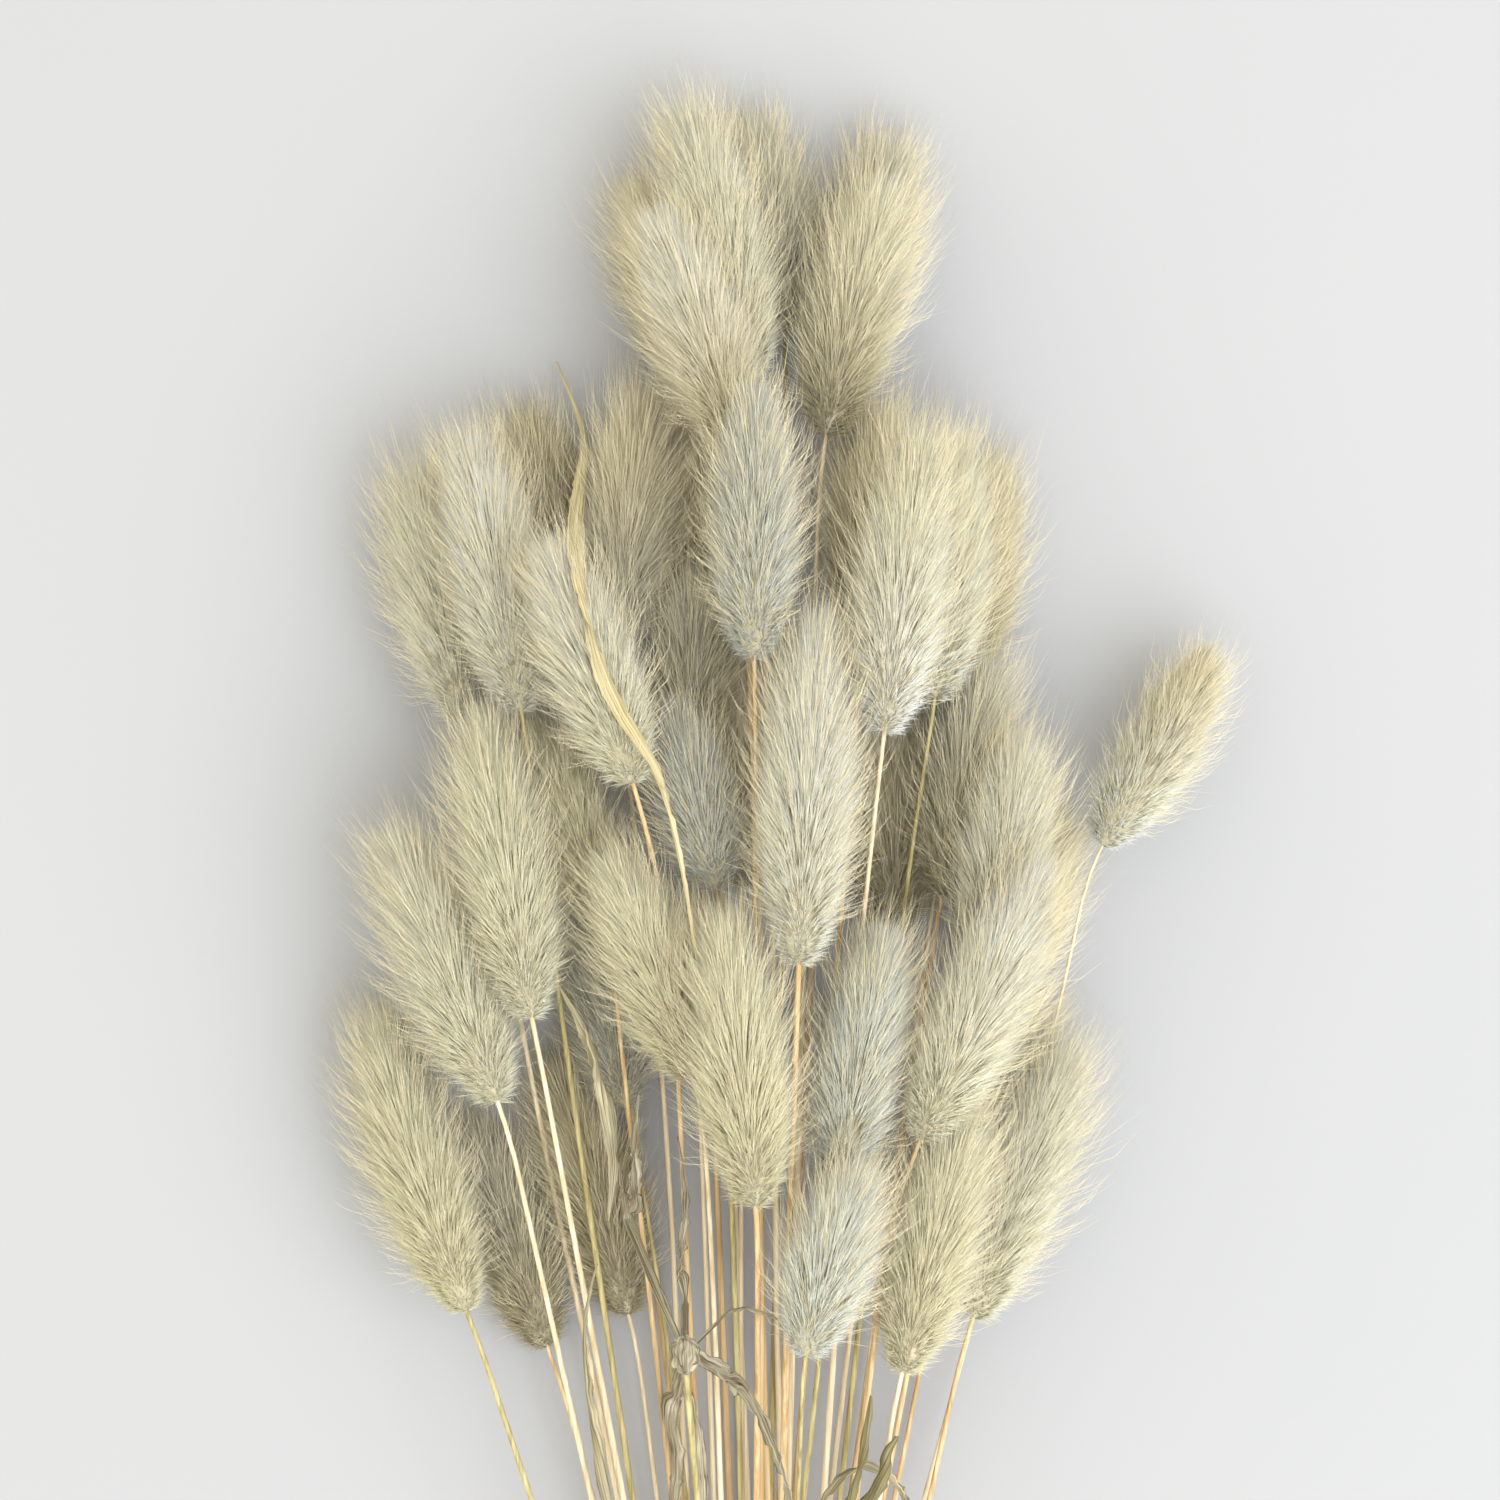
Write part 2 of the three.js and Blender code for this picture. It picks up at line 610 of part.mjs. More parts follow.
// A blade is a thin bar, bent along its way, narrowed to a point at its tip, folded and twisted.
function bladeSolid(path, width, twist, footShare) {
  const steps = Math.max(8, Math.ceil(path.getLength() / 5));
  const bar = new THREE.BoxGeometry(1, 1, 1, 2, 1, steps);
  const place = bar.getAttribute("position");
  const up = new THREE.Vector3(0, 0, 1);
  for (let i = 0; i < place.count; i++) {
    const across = place.getX(i) * 2;
    const t = place.getZ(i) + 0.5;
    const centre = path.getPointAt(t);
    const along = path.getTangentAt(t);
    const angle = THREE.MathUtils.degToRad(lerp(twist[0], twist[1], t));
    const side = new THREE.Vector3().crossVectors(up, along).normalize().applyAxisAngle(along, angle);
    const face = new THREE.Vector3().crossVectors(along, side).normalize();
    const taper = Math.min(1, lerp(footShare, 1, Math.min(t / 0.2, 1)), 0.12 + 2.2 * (1 - t));
    const half = (width / 2) * taper;
    const sink = leafFold * 2 * half * (Math.abs(across) - 0.5);
    const thick = place.getY(i) * leafThickness * lerp(1, 0.6, Math.abs(across));
    centre.addScaledVector(side, across * half).addScaledVector(face, sink + thick);
    place.setXYZ(i, centre.x, centre.y, centre.z);
  }
  return toManifold(bar);
}

function looseLeafMesh(stalks, leaf) {
  const path = drape(stalks, leaf.way, leaf.width);
  laidLeaves.push({ points: path.getSpacedPoints(Math.ceil(path.getLength())), half: leaf.width / 2 });
  return toMesh(bladeSolid(path, leaf.width, leaf.twist, 0.4), leaf.name, leaf.colour);
}

// Blades that cross at the knot can close a pocket between them. It is filled: the outer skin is kept.
function withoutPockets(solid) {
  const skins = solid.decompose().sort((a, b) => b.volume() - a.volume());
  return skins[0];
}

function shootMesh(stalks, shoot) {
  const points = culmPoints(shoot);
  const end = new THREE.Vector3(shoot.x[shoot.last], stations[shoot.last], shoot.z[shoot.last]);
  points.push(end);
  const knot = new THREE.SphereGeometry(knotRadius, 8, 6).scale(1, 1.3, 1).translate(end.x, end.y, end.z);
  let solid = toManifold(rod(points, shoot.culm)).add(toManifold(knot));
  const foot = [(100 * end.x) / halfFan, (100 * (end.y - zoneFoot)) / headZone];
  const paths = shootBlades.map((blade) => drape(stalks, [foot, ...blade.way], blade.width, end));
  shootBlades.forEach((blade, i) => {
    solid = solid.add(bladeSolid(paths[i], blade.width, blade.twist, 0.5));
    laidLeaves.push({ points: paths[i].getSpacedPoints(Math.ceil(paths[i].getLength())), half: blade.width / 2 });
  });
  return toMesh(withoutPockets(solid), "leafy_shoot", "straw");
}

// --- The tie ---

function tieMesh(tie) {
  const half = tieWidth / 2 - clearance;
  const outline = [[tie.inner, -half], [tie.outer, -half], [tie.outer, half], [tie.inner, half]];
  outline.push(outline[0]);
  const ring = new THREE.LatheGeometry(outline.map(([r, y]) => new THREE.Vector2(r, y)), 32);
  ring.translate(0, tieHeight, tie.outer);
  return toMesh(toManifold(ring), "tie", "twine");
}

// --- The bunch ---

const rows = [...stalkRows, shootRow];
const stalks = rows.map(makeStalk);
const tie = packTie(stalks);
packStalks(stalks, tie);
const shoot = stalks[stalks.length - 1];
const flowering = stalks.slice(0, -1);

const bunch = new THREE.Group();
bunch.name = "bunny_tail_bunch";
flowering.forEach((stalk, i) => {
  bunch.add(stalkMesh(stalk, "stalk_" + String(i + 1).padStart(2, "0")));
});
bunch.add(shootMesh(flowering, shoot));
looseLeaves.forEach((leaf) => bunch.add(looseLeafMesh(stalks, leaf)));
bunch.add(tieMesh(tie));

// The origin is on the table, under the middle of the bunch.
const box = new THREE.Box3().setFromObject(bunch);
const middle = box.getCenter(new THREE.Vector3());
bunch.children.forEach((mesh) => mesh.geometry.translate(-middle.x, -middle.y, -box.min.z));

export default bunch;
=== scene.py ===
# %% [markdown]
# # A bunch of dried bunny tail grass
#
# Forty-one stalks of bunny tail grass lie on a table in a loose bunch. Each stalk is a thin straw with
# one soft oval seed head. The heads look solid from afar, but they are made of thousands of fine hairs,
# so most of this lesson is about growing hairs with numpy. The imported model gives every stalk's place:
# this script reads the stalks' lines from it and builds everything that is seen around those lines.

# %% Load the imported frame
import json

import bpy
import numpy as np
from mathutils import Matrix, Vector


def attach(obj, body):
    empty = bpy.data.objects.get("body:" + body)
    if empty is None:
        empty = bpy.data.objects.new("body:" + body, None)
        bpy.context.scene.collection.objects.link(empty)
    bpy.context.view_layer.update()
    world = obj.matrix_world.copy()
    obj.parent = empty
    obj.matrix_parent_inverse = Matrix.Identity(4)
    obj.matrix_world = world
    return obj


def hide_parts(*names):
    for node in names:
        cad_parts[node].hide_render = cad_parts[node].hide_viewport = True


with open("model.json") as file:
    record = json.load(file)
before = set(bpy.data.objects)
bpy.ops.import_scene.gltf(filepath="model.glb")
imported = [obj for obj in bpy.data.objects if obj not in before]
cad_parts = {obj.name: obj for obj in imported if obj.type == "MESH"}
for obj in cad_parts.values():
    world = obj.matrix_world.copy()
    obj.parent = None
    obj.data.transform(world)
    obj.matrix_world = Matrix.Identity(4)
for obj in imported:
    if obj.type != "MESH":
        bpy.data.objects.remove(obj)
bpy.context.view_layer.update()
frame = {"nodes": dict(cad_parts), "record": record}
nodes = frame["nodes"]
slot_of = {part["node"]: part["material_slot"] for part in frame["record"]["subparts"]}
MM = 0.001

# %% [markdown]
# ## One way to make every mesh
#
# Every piece below is worked out as whole numpy arrays: corner places, faces, and sometimes a map from
# each face corner to a place on a pattern. One helper puts such arrays into a mesh, so that no other
# function has to know how Blender stores them. Another joins several such sets of arrays into one.


# %% From arrays to a piece
def make_piece(name, points, faces, material, maps=None, node=None, face_material=None):
    """Puts points (V, 3) and faces (F, 3 or 4) into a mesh that rides on the bunch."""
    mesh = bpy.data.meshes.new(name)
    sides = faces.shape[1]
    mesh.vertices.add(len(points))
    mesh.vertices.foreach_set("co", points.astype(np.float32).ravel())
    mesh.loops.add(faces.size)
    mesh.loops.foreach_set("vertex_index", faces.astype(np.int32).ravel())
    mesh.polygons.add(len(faces))
    mesh.polygons.foreach_set("loop_start", np.arange(0, faces.size, sides, dtype=np.int32))
    mesh.polygons.foreach_set("use_smooth", np.ones(len(faces), dtype=bool))
    for each in np.atleast_1d(material):
        mesh.materials.append(each)
    if face_material is not None:
        mesh.polygons.foreach_set("material_index", face_material.astype(np.int32))
    for map_name, places in (maps or {}).items():
        layer = mesh.uv_layers.new(name=map_name)
        layer.uv.foreach_set("vector", places.astype(np.float32).ravel())
    mesh.update(calc_edges=True)
    mesh.validate()
    piece = bpy.data.objects.new(name, mesh)
    bpy.context.scene.collection.objects.link(piece)
    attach(piece, "root")
    if node:
        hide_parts(node)
    return piece


def unit(vectors):
    """Each vector divided by its own length."""
    return vectors / np.linalg.norm(vectors, axis=-1, keepdims=True)


def join(parts):
    """Several (points, faces, places) as one."""
    first = np.cumsum([0] + [len(points) for points, _, _ in parts[:-1]])
    points = np.vstack([part[0] for part in parts])
    faces = np.vstack([part[1] + shift for part, shift in zip(parts, first)])
    return points, faces, np.vstack([part[2] for part in parts])


print("a vector of length one:", unit(np.array([3.0, 4.0, 0.0])))


# %% [markdown]
# ## Reading a stalk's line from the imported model
#
# A packed stalk is a rod that widens into a spindle. If it is sliced at many heights along the bunch,
# the middle of each slice is a point of the stalk's centre line, and half the slice's width is its
# radius there. That gives the exact line without copying any number from the model's source.


# %% Slice the stalks
def node_triangles(name):
    """The node's triangles as an array (T, 3 corners, 3 numbers)."""
    mesh = nodes[name].data
    mesh.calc_loop_triangles()
    corners = np.empty(len(mesh.vertices) * 3, dtype=np.float32)
    mesh.vertices.foreach_get("co", corners)
    index = np.empty(len(mesh.loop_triangles) * 3, dtype=np.int32)
    mesh.loop_triangles.foreach_get("vertices", index)
    return corners.reshape(-1, 3)[index.reshape(-1, 3)].astype(float)


def slice_along_y(triangles, heights):
    """Where the triangles' edges cross each plane y = height: the middle point and half the width."""
    start = triangles.reshape(-1, 3)
    end = np.roll(triangles, -1, axis=1).reshape(-1, 3)
    low, high, level = start[None, :, 1], end[None, :, 1], heights[:, None]
    crosses = (low <= level) != (high <= level)
    share = np.where(crosses, (level - low) / np.where(high == low, 1, high - low), 0)
    found = start[None] + share[..., None] * (end - start)[None]
    least = np.where(crosses[..., None], found, np.inf).min(axis=1)
    most = np.where(crosses[..., None], found, -np.inf).max(axis=1)
    middle = (least + most) / 2
    middle[:, 1] = heights
    return middle, (most - least)[:, 0] / 2


def smooth_line(line, reach):
    """Each point becomes the mean of the points around it. The ends are first carried on straight."""
    before = line[0] + (line[0] - line[1]) * np.arange(reach, 0, -1)[:, None]
    after = line[-1] + (line[-1] - line[-2]) * np.arange(1, reach + 1)[:, None]
    longer = np.vstack([before, line, after])
    window = np.hanning(2 * reach + 3)[1:-1]
    window = window / window.sum()
    return np.stack([np.convolve(longer[:, k], window, "valid") for k in range(3)], axis=1)


def read_stalk(name):
    """The stalk's centre line from cut end to tip, and where its seed head starts."""
    triangles = node_triangles(name)
    bottom, top = triangles[..., 1].min(), triangles[..., 1].max()
    heights = np.linspace(bottom + 0.2 * MM, top - 0.2 * MM, 220)
    line, width = slice_along_y(triangles, heights)
    foot = int(np.flatnonzero(width > 1.9 * MM)[0])
    line = smooth_line(line, 9)
    culm_radius = float(np.median(width[: foot - 2]))
    return {"name": name, "line": line, "foot": foot, "radius": culm_radius}


stalk_names = sorted(name for name in nodes if name.startswith("stalk_"))
stalks = [read_stalk(name) for name in stalk_names]
print("stalks:", len(stalks), "longest:", round(max(np.ptp(s["line"][:, 1]) for s in stalks), 3), "m")

# %% [markdown]
# ## The camera
#
# The bunch is looked at from straight above. The camera comes early, because every later choice of
# hair thickness and colour is judged through it. A long lens from 0.9 m keeps the heads that lie
# higher from looking much bigger than the others.

# %% Camera
camera_data = bpy.data.cameras.new("studio_camera")
camera_data.sensor_width = 36
camera_data.lens = 124.2
camera_data.clip_end = 20
camera = bpy.data.objects.new("studio_camera", camera_data)
camera.location = (-0.007, 0.1156, 0.9)
bpy.context.scene.collection.objects.link(camera)
bpy.context.scene.camera = camera
bpy.context.scene.view_settings.view_transform = "Standard"
print("camera field at the heads:", round(36 / camera_data.lens * 0.88, 3), "m")

# %% [markdown]
# ## Helpers for materials
#
# A material is a small graph of nodes, and writing such a graph out in full takes many lines that say
# little. Three helpers keep them short: one makes a material with its Principled BSDF, one adds a node
# and joins its inputs, and one mixes two colours. A fourth turns a colour as it looks on a screen into
# the linear numbers that a shader works with.


# %% Node helpers
def new_material(name):
    """A material with only a Principled BSDF and its output."""
    material = bpy.data.materials.new(name)
    material.use_nodes = True
    return material, material.node_tree.nodes["Principled BSDF"]


def add_node(tree, kind, links=None, **settings):
    """Adds a node, sets its plain values, and joins its inputs: links maps an input to a socket or value."""
    node = tree.nodes.new(kind)
    for key, value in settings.items():
        setattr(node, key, value)
    for key, value in (links or {}).items():
        if isinstance(value, bpy.types.NodeSocket):
            tree.links.new(value, node.inputs[key])
        else:
            node.inputs[key].default_value = value
    return node


def mix_colours(tree, factor, first, second, blend="MIX"):
    """A Mix node for colours, whose result is first where factor is 0 and second where it is 1."""
    node = tree.nodes.new("ShaderNodeMix")
    node.data_type = "RGBA"
    node.blend_type = blend
    for socket, value in ((node.inputs[0], factor), (node.inputs[6], first), (node.inputs[7], second)):
        if isinstance(value, bpy.types.NodeSocket):
            tree.links.new(value, socket)
        else:
            socket.default_value = value
    return node.outputs[2]


def colour(red, green, blue):
    """A colour as it is seen on a screen, from 0 to 255, as the linear numbers that shaders use."""
    shown = np.array([red, green, blue]) / 255
    linear = np.where(shown > 0.04045, ((shown + 0.055) / 1.055) ** 2.4, shown / 12.92)
    return (*map(float, linear), 1.0)


print("a straw colour as linear numbers:", [round(part, 3) for part in colour(244, 230, 200)])

# %% [markdown]
# ## The table
#
# The bunch lies on a plain pale table. One large square would do, but a perfectly even colour looks
# false, so a broad faint noise changes its grey by a hair's breadth. It is the stage and not a part of
# the bunch, so it is not attached to it.


# %% Table
def make_table():
    """A pale matt table top, much larger than the bunch."""
    reach = 6.0
    corners = np.array([[-reach, -reach, 0], [reach, -reach, 0], [reach, reach, 0], [-reach, reach, 0]])
    mesh = bpy.data.meshes.new("table")
    mesh.from_pydata(corners.tolist(), [], [(0, 1, 2, 3)])
    material, shader = new_material("pale_table")
    tree = material.node_tree
    where = add_node(tree, "ShaderNodeTexCoord").outputs["Object"]
    cloud = add_node(tree, "ShaderNodeTexNoise", {"Vector": where, "Scale": 6.0, "Detail": 3.0})
    shade = mix_colours(tree, cloud.outputs["Fac"], colour(170, 171, 172), colour(174, 175, 175))
    tree.links.new(shade, shader.inputs["Base Color"])
    shader.inputs["Roughness"].default_value = 0.8
    mesh.materials.append(material)
    table = bpy.data.objects.new("table", mesh)
    bpy.context.scene.collection.objects.link(table)
    return table


print("table:", tuple(make_table().dimensions))

# %% [markdown]
# ## The light
#
# Fur swallows light: a ray that enters it meets hair after hair. One large window-like lamp from the
# lower right gives each head its form, and a bright room on all sides fills the fur. The room is warm
# and the lamp is slightly cool, so that open surfaces stay neutral and deep gaps turn brown.


# %% Light
def area_light(name, place, aim, size, power, tint=(1, 1, 1)):
    """A square lamp at a place, turned to shine at the aim."""
    data = bpy.data.lights.new(name, "AREA")
    data.size = size
    data.energy = power
    data.color = tint
    lamp = bpy.data.objects.new(name, data)
    lamp.location = place
    lamp.rotation_euler = (Vector(aim) - Vector(place)).to_track_quat("-Z", "Y").to_euler()
    bpy.context.scene.collection.objects.link(lamp)
    return lamp


area_light("window", (0.75, -0.4, 1.6), (0, 0.1, 0), 2.0, 34, (0.97, 1.02, 1.18))
world = bpy.data.worlds.new("soft_room")
world.use_nodes = True
world.node_tree.nodes["Background"].inputs["Color"].default_value = (1.0, 0.965, 0.87, 1)
world.node_tree.nodes["Background"].inputs["Strength"].default_value = 1.32
bpy.context.scene.world = world
print("one large lamp from the lower right, and a soft room")

# %% [markdown]
# ## Straw
#
# A dried culm is a smooth hollow straw. Its colour runs in fine lengthwise streaks, from pale cream to
# golden, because the fibres under its skin dry unevenly. Object coordinates that are squeezed along Y
# and stretched across it turn plain noise into such streaks. The streaks are wanted on the culms and
# on the leaves, so they are a node group.


# %% Streak group
def group_tree(name, inputs, outputs):
    """An empty shader node group with named sockets: {name: (kind, default)}."""
    tree = bpy.data.node_groups.new(name, "ShaderNodeTree")
    for label, (kind, default) in inputs.items():
        socket = tree.interface.new_socket(label, in_out="INPUT", socket_type=kind)
        socket.default_value = default
    for label, kind in outputs.items():
        tree.interface.new_socket(label, in_out="OUTPUT", socket_type=kind)
    return tree, tree.nodes.new("NodeGroupInput"), tree.nodes.new("NodeGroupOutput")


def build_streaks():
    """Streaks = noise over (x * Across, y * Along, z * Across), used twice: fine for the fibres' height,
    broad for the patches of colour."""
    tree, given, result = group_tree(
        "streaks",
        {
            "Place": ("NodeSocketVector", (0, 0, 0)),
            "Across": ("NodeSocketFloat", 1600.0),
            "Along": ("NodeSocketFloat", 30.0),
            "Pale": ("NodeSocketColor", colour(244, 226, 184)),
            "Deep": ("NodeSocketColor", colour(205, 166, 98)),
            "Patch": ("NodeSocketColor", colour(176, 160, 104)),
            "Patch Share": ("NodeSocketFloat", 0.4),
        },
        {"Color": "NodeSocketColor", "Height": "NodeSocketFloat"},
    )
    where = given.outputs["Place"]
    scale = add_node(
        tree,
        "ShaderNodeCombineXYZ",
        {"X": given.outputs["Across"], "Y": given.outputs["Along"], "Z": given.outputs["Across"]},
    )
    stretched = add_node(tree, "ShaderNodeVectorMath", {0: where, 1: scale.outputs[0]}, operation="MULTIPLY")
    place = stretched.outputs[0]
    fibres = add_node(tree, "ShaderNodeTexNoise", {"Vector": place, "Scale": 1.0, "Detail": 3.0})
    sharper = add_node(
        tree, "ShaderNodeMapRange", {"Value": fibres.outputs["Fac"], "From Min": 0.32, "From Max": 0.68}
    )
    patches = add_node(tree, "ShaderNodeTexNoise", {"Vector": where, "Scale": 85.0, "Detail": 2.0})
    patch_mask = add_node(
        tree, "ShaderNodeMapRange", {"Value": patches.outputs["Fac"], "From Min": 0.5, "From Max": 0.72}
    )
    patch_share = add_node(
        tree,
        "ShaderNodeMath",
        {0: patch_mask.outputs[0], 1: given.outputs["Patch Share"]},
        operation="MULTIPLY",
    )
    base = mix_colours(tree, sharper.outputs[0], given.outputs["Deep"], given.outputs["Pale"])
    patched = mix_colours(tree, patch_share.outputs[0], base, given.outputs["Patch"])
    tree.links.new(patched, result.inputs["Color"])
    tree.links.new(fibres.outputs["Fac"], result.inputs["Height"])
    return tree


streaks = build_streaks()
print("streak group inputs:", [item.name for item in streaks.interface.items_tree if item.in_out == "INPUT"])

# %% [markdown]
# The straws of one bunch differ: some dried pale, some golden and some stayed greenish. Each look is the
# streak group with its own three colours. The husk is the rough skin of the rachis, which shows only
# at the foot of a seed head, so its streaks are short and broad.


# %% Straw and husk materials
def streaked_material(name, colours, patch_share=0.4, across=1600.0, along=30.0, rough=0.55, leaf=False):
    """A matt fibrous skin: the streak group gives its colour and the height of its fibres. colours are the
    pale streaks, the deep ones and the patches. A stalk takes its place from object coordinates, a leaf
    from its own map, so that its streaks turn with it."""
    pale, deep, patch = (colour(*each) for each in colours)
    material, shader = new_material(name)
    tree = material.node_tree
    group = add_node(tree, "ShaderNodeGroup", node_tree=streaks)
    if leaf:
        place = add_node(tree, "ShaderNodeUVMap", uv_map="leaf").outputs[0]
    else:
        place = add_node(tree, "ShaderNodeTexCoord").outputs["Object"]
    tree.links.new(place, group.inputs["Place"])
    numbers = {"Across": across, "Along": along, "Pale": pale, "Deep": deep, "Patch": patch}
    for label, value in numbers.items():
        group.inputs[label].default_value = value
    group.inputs["Patch Share"].default_value = patch_share
    bump = add_node(
        tree, "ShaderNodeBump", {"Height": group.outputs["Height"], "Strength": 0.35, "Distance": 0.00012}
    )
    tree.links.new(group.outputs["Color"], shader.inputs["Base Color"])
    tree.links.new(bump.outputs["Normal"], shader.inputs["Normal"])
    shader.inputs["Roughness"].default_value = rough
    shader.inputs["Specular IOR Level"].default_value = 0.35
    return material


straws = {
    "pale": streaked_material("straw_pale", ((244, 230, 200), (204, 182, 140), (174, 154, 110))),
    "gold": streaked_material("straw_gold", ((234, 208, 162), (186, 150, 98), (152, 126, 80))),
    "green": streaked_material("straw_green", ((206, 194, 140), (148, 134, 82), (122, 112, 66))),
}
husk_colours = ((206, 198, 166), (176, 168, 136), (164, 156, 124))
husk = streaked_material("husk", husk_colours, across=700.0, along=400.0, rough=0.8)
print("straw materials:", list(straws))

# %% [markdown]
# ## Culms
#
# A culm is a profile carried along a path: a ring of points at each step of the line, scaled by the
# radius there. The same tube goes on into the seed head as its rachis, the firm middle that carries
# the hairs. A Curve object with a bevel could do this too, but here the radius follows a formula: a
# slow taper, a slight swelling at each node of the grass, and the spindle of the rachis.


# %% A tube along a line
def path_frames(line):
    """Along, side and up for each point of a line that never stands upright: side = along x Z."""
    along = unit(np.gradient(line, axis=0))
    side = unit(np.cross(along, [0, 0, 1.0]))
    return along, side, np.cross(side, along)


def tube(line, radii, sides, frames=None):
    """Ring points P(i, j) = line_i + radius_i (cos a_j side_i + sin a_j up_i), closed by a point at
    each end. Returns the points and its faces, as triangles at the ends and along it."""
    _, side, up = frames or path_frames(line)
    angle = 2 * np.pi * np.arange(sides) / sides
    ring = np.cos(angle)[None, :, None] * side[:, None] + np.sin(angle)[None, :, None] * up[:, None]
    points = (line[:, None] + radii[:, None, None] * ring).reshape(-1, 3)
    points = np.vstack([points, line[:1], line[-1:]])
    return points, tube_faces(len(line), sides)


def tube_faces(steps, sides):
    """The triangles of a tube of rings, with its two end points after the rings."""
    i, j = np.meshgrid(np.arange(steps - 1), np.arange(sides), indexing="ij")
    a = (i * sides + j).ravel()
    b = (i * sides + (j + 1) % sides).ravel()
    c, d = b + sides, a + sides
    walls = np.vstack([np.stack([a, c, b], 1), np.stack([a, d, c], 1)])
    around = np.arange(sides)
    after = (around + 1) % sides
    foot = np.full(sides, steps * sides)
    last = (steps - 1) * sides
    first_cap = np.stack([foot, around, after], 1)
    last_cap = np.stack([foot + 1, last + after, last + around], 1)
    return np.vstack([walls, first_cap, last_cap])


print("faces of a tube of 5 rings with 10 sides:", len(tube_faces(5, 10)))

# %% [markdown]
# The culm's own numbers follow the plant. It tapers to less than half its thickness, it swells a little
# at one node, and at its cut end the wall turns in and runs 2 mm up inside, because the straw is hollow.
# In the head the tube widens into the rachis, which wears the husk and not the straw.


# %% Make the culms
HEAD_CORE = 4.1 * MM
CORE_END = 0.88  # the rachis ends here, as a share of the head; only hairs reach further


def core_radius(t):
    """The spindle of the rachis: HEAD_CORE * sin(pi s^0.68)^0.6, where s runs from 0 to 1 along it."""
    inside = np.clip(t / CORE_END, 0, 1)
    return HEAD_CORE * np.sin(np.pi * inside**0.68).clip(0) ** 0.6


def hollow_end(path, radii):
    """Two rings more at the cut end: the wall turns in to 0.55 of the radius and 2 mm back up the culm."""
    inside = path[0] + 2 * MM * unit(path[1] - path[0])
    line = np.vstack([inside, path[0], path])
    return line, np.concatenate([[0.5 * radii[0], 0.55 * radii[0]], radii])


def culm_tube(path, radii):
    """A tube with a hollow cut end. The two rings inside the end take its frame."""
    frames = [np.vstack([each[:1], each[:1], each]) for each in path_frames(path)]
    return tube(*hollow_end(path, radii), 10, frames)


def make_culm(stalk, number, random):
    """The culm from its cut end to the top of its rachis, as one closed tube."""
    line, foot = stalk["line"], stalk["foot"]
    head_length = np.linalg.norm(line[-1] - line[foot])
    keep = line[: foot + int((len(line) - foot) * CORE_END)]
    steps = np.arange(len(keep))
    chosen = np.unique(np.concatenate([steps[:foot:3], steps[foot - 1 :]]))
    path = keep[chosen]
    t = np.where(chosen >= foot, np.linalg.norm(path - line[foot], axis=1) / head_length, 0)
    height = path[:, 1] - line[0, 1]
    taper = stalk["radius"] * (1.0 - 0.58 * height / (line[foot, 1] - line[0, 1]))
    joint = random.uniform(0.03, 0.16)
    swelling = 1 + 0.3 * np.exp(-(((height - joint) / 0.0025) ** 2))
    radii = np.maximum(taper * swelling, np.where(t > 0, core_radius(t), 0))
    radii[-1] *= 0.3
    points, faces = culm_tube(path, radii)
    ring_of = np.clip(faces.min(axis=1) // 10 - 2, 0, len(path) - 1)
    on_head = (chosen[ring_of] >= foot).astype(np.int32)
    look = ("pale", "gold", "pale", "green", "gold")[number % 5]
    name = "culm_" + stalk["name"][-2:]
    make_piece(name, points, faces, [straws[look], husk], None, stalk["name"], face_material=on_head)


random = np.random.default_rng(7)
for number, stalk in enumerate(stalks):
    make_culm(stalk, number, random)
print("culms:", len(stalks))

# %% [markdown]
# ## The colours of the hairs
#
# No two heads dry to the same colour. They run from cream over sage green and blue-grey to tan, and
# most change from foot to tip. Each hair is also darker at its root than at its tip, partly in its own
# colour and partly as painted shade for the inside of the fur, where the hairs shadow each other. The
# hairs carry a map whose u is the place of the hair along the head and whose v runs from the hair's
# root to its tip, so one node group can paint the head's blend, the darker roots and the chance
# variation.

# %% Hair colour group
AWN_FROM = 0.955  # hairs whose u is above this are awns, the long bristles


